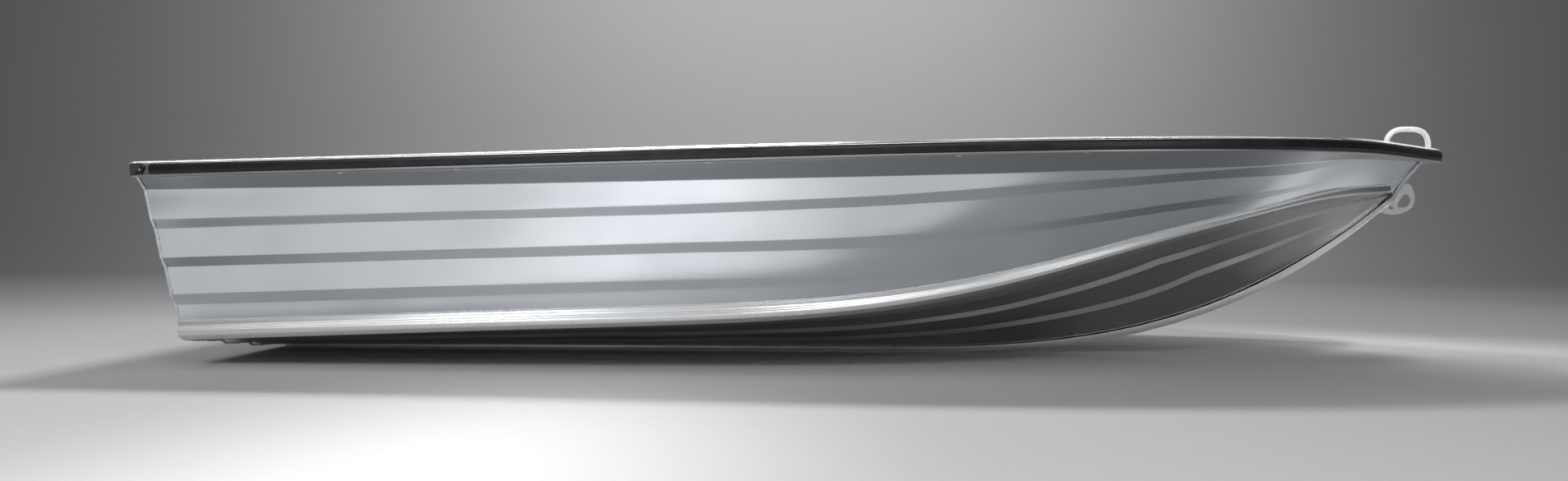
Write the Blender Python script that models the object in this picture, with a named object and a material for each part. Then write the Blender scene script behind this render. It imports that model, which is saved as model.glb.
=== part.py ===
"""An open pressed-aluminium dinghy with a V bottom, welded from sheet and extrusions.

Metres, +Z up, bow towards +X, port towards +Y. The origin is the middle of the boat at the
underside of its keel. The hull is lofted on three lines: keel, chine and sheer.
"""

import math

import bpy
import numpy as np

for old in list(bpy.data.objects):
    bpy.data.objects.remove(old, do_unlink=True)

GAP = 0.0003
SHEET = 0.002
PLATE = 0.003

# Transom plane
TRANSOM_FOOT_X = -1.767
TRANSOM_RAKE = math.radians(8.2)

# Keel and stem: the underside rises as STEM_STEEP * (x - STEM_START) ** STEM_POWER
STEM_START = 0.10
STEM_POWER = 2.9
STEM_STEEP = 0.1248
KEEL_DEPTH = 0.012
STEM_DEPTH = 0.010
KEEL_HALF_WIDTH = 0.032
KEEL_FLAT_HALF_WIDTH = 0.030
STEM_HALF_WIDTH = 0.011
KEEL_END_INSET = 0.024
# section where the straight keel is butted to the bent stem bar
KEEL_JOINT = 4

# Sheer: a plane that rises towards the bow
SHEER_MID_Z = 0.581
SHEER_SLOPE = 0.0305

# Stern section, on the transom plane
STERN_CHINE_Y = 0.532
STERN_CHINE_Z = 0.073
STERN_SHEER_Y = 0.636

# Sections forward of the transom, aft to fore
# keel x, chine x, chine y, chine z, sheer x, sheer y, columns of the mesh behind it
SECTIONS = (
    (-1.383, -1.383, 0.542, 0.089, -1.400, 0.655, 2),
    (-0.950, -0.950, 0.556, 0.107, -0.950, 0.682, 2),
    (-0.450, -0.450, 0.567, 0.127, -0.450, 0.715, 2),
    (0.000, 0.000, 0.563, 0.160, 0.050, 0.738, 3),
    (0.400, 0.400, 0.520, 0.232, 0.500, 0.726, 3),
    (0.780, 0.750, 0.442, 0.326, 0.900, 0.658, 3),
    (1.120, 1.050, 0.342, 0.403, 1.250, 0.530, 3),
    (1.400, 1.340, 0.213, 0.466, 1.500, 0.332, 4),
    (1.580, 1.550, 0.112, 0.490, 1.700, 0.139, 4),
    (1.695, 1.690, 0.012, 0.506, 1.810, 0.000, 6),
)

# Pressed ribs of the sides: share of the side's height that lies above the rib at the stern, where
# it ends and at the bow, and the section numbers between which it fades out
RIBS = (
    ("lower", 0.745, 0.775, 0.62, 4.1, 4.9),
    ("middle", 0.530, 0.600, 0.50, 6.5, 7.4),
    ("upper", 0.312, 0.285, 0.30, 6.0, 7.0),
)
RIBS_STRAIGHT_TO = 3.0
RIB_HEIGHT = 0.026
RIB_STEP = 0.009
BAND_HEIGHT_STERN = 0.070
BAND_HEIGHT_BOW = 0.120
BAND_STEP_STERN = 0.022
BAND_STEP_BOW = 0.008

# Pressed strakes of the bottom: distance from the middle, the most that this may be of the bottom's
# width, and the section numbers between which the strake fades out
STRAKES = (
    ("inner", 0.185, 0.50, 7.0, 8.0),
    ("outer", 0.330, 0.79, 6.4, 7.4),
)
STRAKE_WIDTH = 0.014
STRAKE_STEP = 0.008
CHINE_FACET_WIDTH = 0.075
CHINE_FACET_STEP = 0.004

# Chine extrusion: how far its flanges reach from the corner of the sheets, and its rail
CHINE_SIDE_FLANGE = 0.047
CHINE_FOOT_FLANGE = 0.014
CHINE_SEAM = 0.004
CHINE_WALL = 0.0025
RAIL_REACH = 0.018
RAIL_LIP_LOW = 0.014
RAIL_LIP_HIGH = 0.020
RAIL_LEDGE = 0.036
RAIL_LEDGE_REACH = 0.007
CHINE_STOP = 4

# Gunwale extrusion, from the top edge of the side sheet: reach outboard and height
GUNWALE_FOOT = 0.036
GUNWALE_REACH = 0.024
GUNWALE_TOP = 0.0045
GUNWALE_INBOARD = 0.026
GUNWALE_WALL = 0.0025
GUNWALE_LEG = 0.010
GROOVE_TOP = -0.005
GROOVE_FOOT = -0.0295
GROOVE_DEPTH = 0.004
STRIP_BULGE = 0.003
CAP_WALL = 0.003
END_CAP_LENGTH = 0.036
GUNWALE_ROUND = 0.0015
STRIP_ROUND = 0.004
KEEL_END_SLANT = 0.010
BAR_HOLLOW = 0.65
STEM_STOP = 0.006
STEM_CLEARANCE = 0.0014

# Transom and what is on it
SHEET_CLEARANCE = 0.0006
NOTCH_CLEARANCE = 0.001
TRANSOM_RECESS = 0.002
CAP_OVER = 0.004
CAP_CHANNEL_WALL = 0.0025
CAP_CHANNEL_LEG = 0.022
PAD_WIDTH = 0.36
PAD_HEIGHT = 0.30
PAD_CORNER = 0.02
BOARD_THICKNESS = 0.024
KNEE_DROP = 0.09
KNEE_LENGTH = 0.20
KNEE_TOE = 0.02
KNEE_CLEARANCE = 0.0012
BUNG_Y = 0.075
BUNG_Z = 0.062
# Radius and reach aft of the transom's face
BUNG_PROFILE = ((0.010, 0.0), (0.018, 0.0), (0.018, 0.004), (0.009, 0.005), (0.008, 0.014), (0.004, 0.014))
HANDLE_Y = 0.42
HANDLE_Z = 0.40
HANDLE_SPAN = 0.13
HANDLE_REACH = 0.038
HANDLE_BEND = 0.016
HANDLE_RADIUS = 0.005
GUSSET_LENGTH = 0.15
GUSSET_TOE = 0.02
GUSSET_DROP = 0.003

# Bow
DECK_AFT_X = 1.44
DECK_DROP = 0.003
DECK_LIP = 0.022
LIP_FLARE = 1.6
LIP_CLEARANCE = 0.004
SEAT_GAP = 0.0006
BOW_HANDLE_FORE = 0.002
BOW_HANDLE_SPAN = 0.134
BOW_HANDLE_HEIGHT = 0.066
BOW_HANDLE_SLOPE = 0.004
BOW_HANDLE_BEND = 0.024
BOW_HANDLE_RADIUS = 0.009
EYE_THICKNESS = 0.006
EYE_HEIGHTS = (0.444, 0.545)
EYE_OUTLINE = ((1.763, 0.530), (1.768, 0.500), (1.762, 0.482), (1.745, 0.470), (1.722, 0.448), (1.700, 0.438), (1.678, 0.436))
EYE_LARGE = ((1.7145, 0.457), (1.7525, 0.486), (1.7365, 0.508), (1.7065, 0.475))
EYE_LARGE_ROUND = 0.006
EYE_SMALL_RADIUS = 0.006
EYE_SMALL_PLACE = (1.690, 0.4565)

# Floor ribs: channels across the bottom, each from this x forward
FLOOR_RIB_PLACES = (-1.05, -0.72, 0.08, 0.34, 0.58)
RIB_WIDTH = 0.032
FLOOR_RIB_HEIGHT = 0.024

# Bench seats: name, aft edge, fore edge, height of the top
BENCHES = (
    ("stern", -1.50, -1.22, 0.315),
    ("middle", -0.38, -0.10, 0.325),
    ("bow", 0.72, 1.00, 0.395),
)
BENCH_WALL = 0.0025
BENCH_NOSE = 0.008

# Rowlock blocks
ROWLOCK_X = -0.66
ROWLOCK_LENGTH = 0.09
ROWLOCK_WIDTH = 0.030
ROWLOCK_HEIGHT = 0.040
ROWLOCK_DROP = 0.002
ROWLOCK_BORE = 0.013
ROWLOCK_ROUND = 0.006


def transom_x(z):
    """The transom plane's x at this height."""
    return TRANSOM_FOOT_X - math.tan(TRANSOM_RAKE) * z


def sheer_z(x):
    """Height of the side sheet's top edge."""
    return SHEER_MID_Z + SHEER_SLOPE * x


def spline(values, at):
    """Natural cubic through values at 0, 1, 2 and so on, read at these places."""
    values = np.asarray(values, float)
    count = len(values)
    bend = np.zeros(count)
    band = np.diag(np.full(count - 2, 4.0))
    band += np.diag(np.ones(count - 3), 1) + np.diag(np.ones(count - 3), -1)
    bend[1:-1] = np.linalg.solve(band, 6 * np.diff(values, 2))
    low = np.clip(np.floor(at).astype(int), 0, count - 2)
    t = at - low
    u = 1 - t
    curve = bend[low] * (u**3 - u) + bend[low + 1] * (t**3 - t)
    return values[low] * u + values[low + 1] * t + curve / 6


def fade(at, start, end):
    """1 before start, 0 after end, and smooth between."""
    t = np.clip((at - start) / (end - start), 0, 1)
    return 1 - t * t * (3 - 2 * t)


def unit(vectors):
    return vectors / np.linalg.norm(vectors, axis=-1, keepdims=True)


def section_places():
    """Section number of each column of the mesh."""
    places = [0.0]
    for number, row in enumerate(SECTIONS):
        places += [number + (i + 1) / row[-1] for i in range(row[-1])]
    return np.array(places)


S = section_places()


def keel_line():
    """Underside of the keel bar, its depth, and the direction into the hull, for each column."""
    table = np.array([row[0] for row in SECTIONS])
    x = spline(np.concatenate([[transom_x(KEEL_DEPTH)], table]), S)
    past = np.maximum(x - STEM_START, 0)
    z = STEM_STEEP * past**STEM_POWER
    slope = STEM_STEEP * STEM_POWER * past ** (STEM_POWER - 1)
    inward = unit(np.stack([-slope, 0 * slope, 1 + 0 * slope], 1))
    depth = KEEL_DEPTH + (STEM_DEPTH - KEEL_DEPTH) * np.clip(slope, 0, 1)
    return np.stack([x, 0 * x, z], 1), depth, inward


def chine_line():
    x, y, z = np.array([row[1:4] for row in SECTIONS]).T
    x = np.concatenate([[transom_x(STERN_CHINE_Z)], x])
    y = np.concatenate([[STERN_CHINE_Y], y])
    z = np.concatenate([[STERN_CHINE_Z], z])
    return np.stack([spline(x, S), spline(y, S), spline(z, S)], 1)


def sheer_line():
    """The sheer is splined through its mirror image too, so that it rounds the bow."""
    x, y = np.array([row[4:6] for row in SECTIONS]).T
    tangent = math.tan(TRANSOM_RAKE)
    stern = (TRANSOM_FOOT_X - tangent * SHEER_MID_Z) / (1 + tangent * SHEER_SLOPE)
    x = np.concatenate([[stern], x])
    y = np.concatenate([[STERN_SHEER_Y], y])
    x = spline(np.concatenate([x, x[-2::-1]]), S)
    y = spline(np.concatenate([y, -y[-2::-1]]), S)
    return np.stack([x, y, sheer_z(x)], 1)


def ruled(low, high, reach, offset):
    """Rows between two lines, at these distances from the low one, pushed out by the offsets."""
    run = high - low
    length = np.linalg.norm(run, axis=1)
    along = run / length[:, None]
    normal = np.cross(np.gradient(low + high, axis=0), along)
    normal = -unit(normal)
    trend = offset[-1] * reach / length
    rows = low + along * reach[..., None]
    return rows + normal * (offset - trend)[..., None]


def normals(rows):
    """Outward normal at each point of a grid of rows and columns."""
    across = np.gradient(rows, axis=0)
    along = np.gradient(rows, axis=1)
    return unit(np.cross(across, along))


def on_transom(points):
    """The first column is cut along the transom plane."""
    points = points.copy()
    first = points[..., 0, :]
    first[..., 0] = transom_x(0) - math.tan(TRANSOM_RAKE) * first[..., 2]
    return points


def clear_of_middle(points):
    points = points.copy()
    points[..., 1] = np.maximum(points[..., 1], GAP)
    return points


def side_rows():
    """Outer face of the port side sheet, from the chine up to the sheer."""
    low, high = chine_line(), sheer_line()
    height = np.linalg.norm(high - low, axis=1)
    reach = [np.full_like(height, CHINE_SEAM), np.full_like(height, CHINE_SIDE_FLANGE)]
    step = [0 * height, 0 * height]
    rise = 0 * height
    for _, at_stern, at_end, at_bow, start, end in RIBS:
        strength = fade(S, start, end)
        share = np.interp(S, [RIBS_STRAIGHT_TO, end, S[-1]], [at_stern, at_end, at_bow])
        top = height * (1 - share)
        deep = RIB_HEIGHT * height / (high - low)[:, 2]
        reach += [top - deep * np.interp(S, [end, end + 0.8], [1, 0.12]), top]
        step += [rise, rise + RIB_STEP * strength]
        rise = step[-1]
    band_height = BAND_HEIGHT_STERN + (BAND_HEIGHT_BOW - BAND_HEIGHT_STERN) * S / S[-1]
    band = np.maximum(height - band_height, top + 0.004)
    foot = height - GUNWALE_FOOT
    reach += [band, foot, height]
    press = BAND_STEP_BOW + (BAND_STEP_STERN - BAND_STEP_BOW) * fade(S, 3.5, 7.0)
    share = (foot - band) / (height - band)
    step += [rise, rise + press * share, rise + press]
    rows = ruled(low, high, np.array(reach), np.array(step))
    return clear_of_middle(on_transom(rows))


def bottom_rows():
    """Outer face of the port bottom sheet, from the keel out to the chine."""
    under, depth, inward = keel_line()
    low, high = under + inward * (depth + GAP)[:, None], chine_line()
    width = np.linalg.norm(high - low, axis=1)
    reach = [0 * width, np.minimum(KEEL_HALF_WIDTH, 0.12 * width)]
    step = [0 * width, 0 * width]
    drop = 0 * width
    for _, from_middle, most, start, end in STRAKES:
        strength = fade(S, start, end)
        share = np.minimum(from_middle / high[:, 1], most)
        reach += [width * share, width * share + np.minimum(STRAKE_WIDTH, 0.06 * width)]
        step += [drop, drop - STRAKE_STEP * strength]
        drop = step[-1]
    facet = np.minimum(CHINE_FACET_WIDTH, 0.14 * width)
    flange = np.minimum(CHINE_FOOT_FLANGE, 0.05 * width)
    reach += [width - facet, width - flange, width - np.minimum(0.001, 0.01 * width)]
    step += [drop, drop - CHINE_FACET_STEP * (1 - flange / facet), drop - CHINE_FACET_STEP]
    rows = ruled(low, high, np.array(reach), np.array(step))
    return clear_of_middle(on_transom(rows))


SIDE = side_rows()
BOTTOM = bottom_rows()
SIDE_OUT = normals(SIDE)
BOTTOM_OUT = normals(BOTTOM)


def inner(rows, out):
    return clear_of_middle(on_transom(rows - out * SHEET))


SIDE_IN = inner(SIDE, SIDE_OUT)
BOTTOM_IN = inner(BOTTOM, BOTTOM_OUT)


# Mesh tools


def finish(name, colour, roughness, metallic):
    made = bpy.data.materials.new(name)
    made.use_nodes = True
    shader = made.node_tree.nodes["Principled BSDF"]
    shader.inputs["Base Color"].default_value = (*colour, 1)
    shader.inputs["Roughness"].default_value = roughness
    shader.inputs["Metallic"].default_value = metallic
    return made


def volume(points, faces):
    total = 0.0
    for face in faces:
        for b, c in zip(face[1:-1], face[2:]):
            total += np.dot(points[face[0]], np.cross(points[b], points[c]))
    return total


def add(name, body, look):
    """An object from points and faces, its faces turned outwards."""
    points, faces = body
    if volume(points, faces) < 0:
        faces = [face[::-1] for face in faces]
    mesh = bpy.data.meshes.new(name)
    mesh.from_pydata(points.tolist(), [], faces)
    mesh.shade_smooth()
    mesh.set_sharp_from_angle(angle=SMOOTH_UNDER)
    mesh.materials.append(look)
    made = bpy.data.objects.new(name, mesh)
    bpy.context.collection.objects.link(made)
    return made


def loft(rings, caps="face", back=None):
    """Closed body through rings of points.

    Every quad is split along the same diagonal, so a flange built on a sheet's rows lies flat on
    the sheet. From the point numbered back, where a thin wall's ring runs back along its other
    face, the split is turned, so that both faces of the wall bend alike. The ends are one face
    each, a strip across a folded sheet, or none on a closed loop.
    """
    rings = np.asarray(rings)
    count, size = rings.shape[:2]
    last = count if caps == "none" else count - 1
    faces = []
    for j in range(last):
        for i in range(size):
            a, b = j * size + i, j * size + (i + 1) % size
            c, d = (b + size) % (count * size), (a + size) % (count * size)
            if back is not None and i >= back:
                faces += [(a, b, c), (a, c, d)]
            else:
                faces += [(a, b, d), (b, c, d)]
    end = (count - 1) * size
    if caps == "face":
        faces += [tuple(range(size))[::-1], tuple(range(end, end + size))]
    if caps == "strip":
        for i in range(size // 2 - 1):
            quad = (i + 1, i, size - 1 - i, size - 2 - i)
            faces += [quad, tuple(end + corner for corner in quad[::-1])]
    return rings.reshape(-1, 3), faces


def mirrored(body):
    points, faces = body
    return points * (1, -1, 1), faces


def add_pair(name, body, look):
    add(name + "_port", body, look)
    add(name + "_starboard", mirrored(body), look)


def hide(helper):
    helper.hide_render = True
    helper.display_type = "WIRE"
    return helper


def combine(made, helpers, operation):
    """Joins the helpers to the piece, or cuts them from it."""
    for number, helper in enumerate(helpers):
        change = made.modifiers.new(f"{operation.lower()} {number}", "BOOLEAN")
        change.operation = operation
        change.solver = "EXACT"
        change.object = hide(helper)
    return made


def prism(outline, axis, low, high):
    """An outline of (a, b) points carried along x, y or z from low to high."""
    outline = np.asarray(outline, float)
    return loft([np.insert(outline, axis, place, axis=1) for place in (low, high)])


def between(points, share):
    """Points on the straight way from the first column to the second."""
    return points[:, 0] + (points[:, 1] - points[:, 0]) * share


def arc(centre, start, end, steps):
    """Points along the short arc from start to end about the centre."""
    one, two = start - centre, end - centre
    angle = math.acos(np.dot(unit(one), unit(two)))
    share = np.linspace(0, 1, steps + 1)[:, None]
    return centre + (np.sin((1 - share) * angle) * one + np.sin(share * angle) * two) / math.sin(angle)


def turned(back, corner, ahead, radius, steps):
    """The arc that replaces a corner between two straight runs."""
    one, two = unit(back - corner), unit(ahead - corner)
    half = math.acos(np.dot(one, two)) / 2
    run = radius / math.tan(half)
    centre = corner + unit(one + two) * radius / math.sin(half)
    return arc(centre, corner + one * run, corner + two * run, steps)


def rounded(corners, radius, steps=4):
    """A closed outline with each corner turned by an arc."""
    corners = np.asarray(corners, float)
    trios = zip(np.roll(corners, 1, 0), corners, np.roll(corners, -1, 0))
    return np.concatenate([turned(*trio, radius, steps) for trio in trios])


def bent_tube(path, bend, radius, sides=10, steps=5):
    """A round bar along straight runs, each corner turned at the bend radius."""
    path = np.asarray(path, float)
    bends = [turned(*trio, bend, steps) for trio in zip(path, path[1:], path[2:])]
    centres = np.concatenate([path[:1], *bends, path[-1:]])
    plane = unit(np.cross(path[1] - path[0], path[2] - path[1]))
    along = unit(np.gradient(centres, axis=0))
    side = np.cross(plane, along)
    angles = 2 * math.pi * np.arange(sides) / sides
    round_off = plane * np.cos(angles)[:, None] + side[:, None] * np.sin(angles)[:, None]
    return loft(centres[:, None] + round_off * radius)


# Finishes

SMOOTH_UNDER = math.radians(20)
ALUMINIUM = finish("mill_aluminium", (0.62, 0.64, 0.66), 0.32, 1.0)
EXTRUSION = finish("extruded_aluminium", (0.74, 0.76, 0.78), 0.25, 1.0)
RUBBER = finish("black_insert", (0.018, 0.019, 0.020), 0.55, 0.0)
CAP_GREY = finish("grey_cap", (0.16, 0.16, 0.17), 0.5, 0.0)
BOARD = finish("motor_board", (0.30, 0.31, 0.32), 0.6, 0.0)
BUNG = finish("bung_plastic", (0.03, 0.03, 0.03), 0.5, 0.0)


# Hull sheets, each folded from one sheet with its ribs or strakes pressed in


def folded(outer, inside):
    """Rings up the outer face and back down the inner one, column by column."""
    return np.concatenate([outer, inside[::-1]]).transpose(1, 0, 2)


add_pair("bottom_sheet", loft(folded(BOTTOM, BOTTOM_IN), "strip", len(BOTTOM)), ALUMINIUM)
add_pair("side_sheet", loft(folded(SIDE, SIDE_IN), "strip", len(SIDE)), ALUMINIUM)


# Chine extrusion, wrapped round the seam of side and bottom


def chine_points():
    side = SIDE[:2] + SIDE_OUT[:2] * GAP
    bottom = BOTTOM[-2:] + BOTTOM_OUT[-2:] * GAP
    out, down = SIDE_OUT[0], BOTTOM_OUT[-1]
    corner = chine_line()
    mitre = (out + down) / (1 + (out * down).sum(1))[:, None]
    up = (SIDE[1] - corner) / CHINE_SIDE_FLANGE

    along = np.gradient(corner, axis=0)
    level = unit(np.stack([-along[:, 1], along[:, 0], 0 * along[:, 0]], 1))

    def rail(reach, height):
        return corner + level * reach + up * height

    return np.stack(
        [
            bottom[0],
            bottom[1],
            corner + mitre * GAP,
            side[0],
            side[1],
            side[1] + SIDE_OUT[1] * CHINE_WALL,
            rail(RAIL_LEDGE_REACH, RAIL_LEDGE),
            rail(RAIL_REACH, RAIL_LIP_HIGH),
            rail(RAIL_REACH, RAIL_LIP_LOW),
            corner + mitre * CHINE_WALL,
            bottom[0] + BOTTOM_OUT[-2] * CHINE_WALL,
        ]
    )


CHINE = on_transom(chine_points())[:, : len(S) - CHINE_STOP]
add_pair("chine_extrusion", loft(CHINE.transpose(1, 0, 2), back=len(CHINE) // 2), EXTRUSION)


# Gunwale extrusion over the top edge of the side, with a groove for its insert


def outboard():
    """Level direction out of the sheer line; straight ahead at the very bow."""
    along = np.gradient(SIDE[-1], axis=0)
    out = unit(np.stack([-along[:, 1], along[:, 0], 0 * along[:, 0]], 1))
    out[-1] = (1, 0, 0)
    return out


OUTBOARD = outboard()


def gunwale_at(reach, height):
    """A line along the boat, this far outboard of the side's top edge and above it."""
    up = np.zeros_like(OUTBOARD)
    up[:, 2] = height
    return SIDE[-1] + OUTBOARD * reach + up


def placed(lines):
    return clear_of_middle(on_transom(np.stack(lines)))


def gunwale_lines():
    """An open channel: its inner leg, top, grooved outer wall and foot, then back inside them."""
    out = SIDE_OUT[-2] * GAP
    foot = SIDE[-2] + out
    above_foot = foot + (SIDE[-1] - SIDE[-2]) * GUNWALE_WALL / GUNWALE_FOOT
    over = np.maximum(SIDE_IN[-1, :, 2] - SIDE[-1, :, 2], 0) + GAP
    leg = GUNWALE_INBOARD - GUNWALE_WALL
    deep = GUNWALE_REACH - GROOVE_DEPTH
    inside = deep - GUNWALE_WALL
    return placed(
        [
            gunwale_at(-GUNWALE_INBOARD, -GUNWALE_LEG),
            gunwale_at(-GUNWALE_INBOARD, GUNWALE_TOP),
            gunwale_at(GUNWALE_REACH - GUNWALE_ROUND, GUNWALE_TOP),
            gunwale_at(GUNWALE_REACH, GUNWALE_TOP - GUNWALE_ROUND),
            gunwale_at(GUNWALE_REACH, GROOVE_TOP),
            gunwale_at(deep, GROOVE_TOP),
            gunwale_at(deep, GROOVE_FOOT),
            gunwale_at(GUNWALE_REACH, GROOVE_FOOT),
            gunwale_at(GUNWALE_REACH, GUNWALE_ROUND - GUNWALE_FOOT),
            gunwale_at(GUNWALE_REACH - GUNWALE_ROUND, -GUNWALE_FOOT),
            foot,
            above_foot,
            gunwale_at(inside, GUNWALE_WALL - GUNWALE_FOOT),
            gunwale_at(inside, over),
            gunwale_at(-leg, over),
            gunwale_at(-leg, -GUNWALE_LEG),
        ]
    )


def strip_lines():
    back = GUNWALE_REACH - GROOVE_DEPTH + GAP
    low, high = GROOVE_FOOT + GAP, GROOVE_TOP - GAP
    crown = GUNWALE_REACH + STRIP_BULGE
    return placed(
        [
            gunwale_at(back, low),
            gunwale_at(back, high),
            gunwale_at(GUNWALE_REACH, high),
            gunwale_at(crown, high - STRIP_ROUND),
            gunwale_at(crown, low + STRIP_ROUND),
            gunwale_at(GUNWALE_REACH, low),
        ]
    )


def end_cap_lines():
    back = GUNWALE_REACH - GROOVE_DEPTH + GAP
    low, high = GROOVE_FOOT + GAP, GROOVE_TOP - GAP
    face = GUNWALE_REACH + GAP
    crown = GUNWALE_REACH + CAP_WALL
    cap_low, cap_high = GUNWALE_ROUND - GUNWALE_FOOT, GUNWALE_TOP - GUNWALE_ROUND
    return placed(
        [
            gunwale_at(back, low),
            gunwale_at(back, high),
            gunwale_at(face, high),
            gunwale_at(face, cap_high),
            gunwale_at(crown, cap_high - CAP_WALL / 2),
            gunwale_at(crown, cap_low + CAP_WALL / 2),
            gunwale_at(face, cap_low),
            gunwale_at(face, low),
        ]
    )


GUNWALE = gunwale_lines()
STRIP = strip_lines()
END_CAP = end_cap_lines()
FIRST_BAY = SIDE[-1, 1, 0] - SIDE[-1, 0, 0]
STRIP_START = between(STRIP, (END_CAP_LENGTH + GAP) / FIRST_BAY)
STRIP_RINGS = np.concatenate([STRIP_START[None], STRIP.transpose(1, 0, 2)[1:]])
END_CAP_RINGS = np.stack([END_CAP[:, 0], between(END_CAP, END_CAP_LENGTH / FIRST_BAY)])
add_pair("gunwale_extrusion", loft(GUNWALE.transpose(1, 0, 2)), EXTRUSION)
add_pair("gunwale_insert", loft(STRIP_RINGS), RUBBER)
add_pair("gunwale_end_cap", loft(END_CAP_RINGS), CAP_GREY)


# Keel extrusion under the seam of the two bottom sheets, bent up round the bow as the stem


def bar_ring(under, depth, inward, veer, start, half, flat):
    """A bar whose inner face is hollowed to the V of the sheets, which starts this far out."""
    seat = under + inward * depth
    edge = seat + inward * veer * max(half - start, 0) * BAR_HOLLOW
    shoulder = under + inward * depth * 0.35
    side = np.array([0, 1, 0])
    return [
        edge - side * half,
        seat,
        edge + side * half,
        shoulder + side * half,
        under + side * flat,
        under - side * flat,
        shoulder - side * half,
    ]


def keel_rings():
    under, depth, inward = keel_line()
    run = BOTTOM[1] - BOTTOM[0]
    veer = (run * inward).sum(1) / np.maximum(run[:, 1], 1e-4)
    slope = np.clip(-inward[:, 0] / inward[:, 2], 0, 1)
    half = KEEL_HALF_WIDTH + (STEM_HALF_WIDTH - KEEL_HALF_WIDTH) * slope
    flat = half - (KEEL_HALF_WIDTH - KEEL_FLAT_HALF_WIDTH)
    parts = zip(under, depth, inward, veer, BOTTOM[0, :, 1], half, flat)
    rings = [np.array(bar_ring(*part)) for part in parts]
    shift = (KEEL_END_INSET + GAP) / (rings[1][1][0] - rings[0][1][0])
    rings[0] = rings[0] + (rings[1] - rings[0]) * shift
    rings[0][4:6, 0] += KEEL_END_SLANT
    for back in (1, 2):
        rings[-back] = rings[-back] - inward[-back] * (2 * STEM_CLEARANCE - GAP) / back**2
    return rings


def stem_rings():
    """The bar's run above the chines, along the front edges of the two sides."""
    edge, behind = SIDE[:, -1], SIDE[:, -2]
    rise = unit(edge[-1] - edge[0])
    inward = unit(np.array([-rise[2], 0, rise[0]]))
    foot = SIDE[-2, -1] - rise * STEM_STOP
    rings = []
    for row, place in ((1, edge[1]), (5, edge[5]), (len(edge) - 2, foot)):
        run = behind[row] - edge[row]
        seat = np.array([place[0], 0, place[2]]) - inward * STEM_CLEARANCE
        veer = np.dot(run, inward) / run[1]
        half = STEM_HALF_WIDTH
        flat = half - (KEEL_HALF_WIDTH - KEEL_FLAT_HALF_WIDTH)
        outer = seat - inward * STEM_DEPTH
        rings.append(np.array(bar_ring(outer, STEM_DEPTH, inward, veer, edge[row][1], half, flat)))
    return rings


KEEL_RINGS = keel_rings() + stem_rings()
JOINT = int(np.searchsorted(S, KEEL_JOINT))
BUTT = np.array([GAP / 2, 0, 0])
add("keel_extrusion", loft(KEEL_RINGS[:JOINT] + [KEEL_RINGS[JOINT] - BUTT]), EXTRUSION)
add("stem_extrusion", loft([KEEL_RINGS[JOINT] + BUTT] + KEEL_RINGS[JOINT + 1 :]), EXTRUSION)


# Transom


def inset(points, distance):
    """A chain of (y, z) points moved to its left by the distance, corners mitred."""
    points = np.asarray(points, float)
    run = unit(np.diff(points, axis=0))
    left = np.stack([-run[:, 1], run[:, 0]], 1)
    before = np.concatenate([left[:1], left])
    after = np.concatenate([left, left[-1:]])
    scale = 1 + (before * after).sum(1)
    return points + (before + after) / scale[:, None] * distance


def hull_section(x):
    """(y, z) of the port side's inner face at this x, from the keel up to the sheer."""
    rows = np.concatenate([BOTTOM_IN, SIDE_IN])
    return np.array([[np.interp(x, row[:, 0], row[:, k]) for k in (1, 2)] for row in rows])


def cut_off(chain, height):
    """The chain up to this height."""
    at = np.interp(height, chain[:, 1], chain[:, 0])
    return np.concatenate([chain[chain[:, 1] < height - 0.001], [[at, height]]])


def both_sides(chain):
    """A closed outline: the port chain and its mirror image, meeting on the middle line."""
    chain = chain.copy()
    chain[0, 0] = 0
    return np.concatenate([chain[:0:-1] * (-1, 1), chain])


def raked(outline, ahead, behind):
    """A plate parallel to the transom, from one distance ahead of its plane to another."""
    outline = np.asarray(outline, float)
    rings = []
    for distance in (ahead, behind):
        x = transom_x(outline[:, 1]) + distance
        rings.append(np.column_stack([x, outline]))
    return loft(rings)


def transom_outline():
    chain = np.concatenate([BOTTOM_IN[:, 0, 1:], SIDE_IN[:, 0, 1:]])
    chain = inset(chain, SHEET_CLEARANCE)
    notch = SIDE[-1, 0, 2] - GUNWALE_LEG - NOTCH_CLEARANCE
    inboard = SIDE[-1, 0, 1] - GUNWALE_INBOARD - NOTCH_CLEARANCE
    top = SIDE[-1, 0, 2] - CAP_OVER
    return both_sides(np.concatenate([cut_off(chain, notch), [[inboard, notch], [inboard, top]]]))


TRANSOM_FACE = TRANSOM_RECESS
TRANSOM_BACK = TRANSOM_FACE + PLATE
TRANSOM_TOP = SIDE[-1, 0, 2] - CAP_OVER
CAP_END = SIDE[-1, 0, 1] - GUNWALE_INBOARD - GAP
add("transom_sheet", raked(transom_outline(), TRANSOM_FACE, TRANSOM_BACK), ALUMINIUM)


def transom_cap():
    """A channel folded over the transom's top edge, from gunwale to gunwale."""
    aft, fore = TRANSOM_FACE - GAP - CAP_CHANNEL_WALL, TRANSOM_BACK + GAP + CAP_CHANNEL_WALL
    slot_aft, slot_fore = TRANSOM_FACE - GAP, TRANSOM_BACK + GAP
    top, low = TRANSOM_TOP + GAP + CAP_CHANNEL_WALL, TRANSOM_TOP - CAP_CHANNEL_LEG
    outline = [
        (aft, low),
        (aft, top),
        (fore, top),
        (fore, low),
        (slot_fore, low),
        (slot_fore, TRANSOM_TOP + GAP),
        (slot_aft, TRANSOM_TOP + GAP),
        (slot_aft, low),
    ]
    rings = []
    for y in (-CAP_END, CAP_END):
        rings.append([(transom_x(z) + ahead, y, z) for ahead, z in outline])
    return loft(rings)


add("transom_cap", transom_cap(), EXTRUSION)

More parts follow.
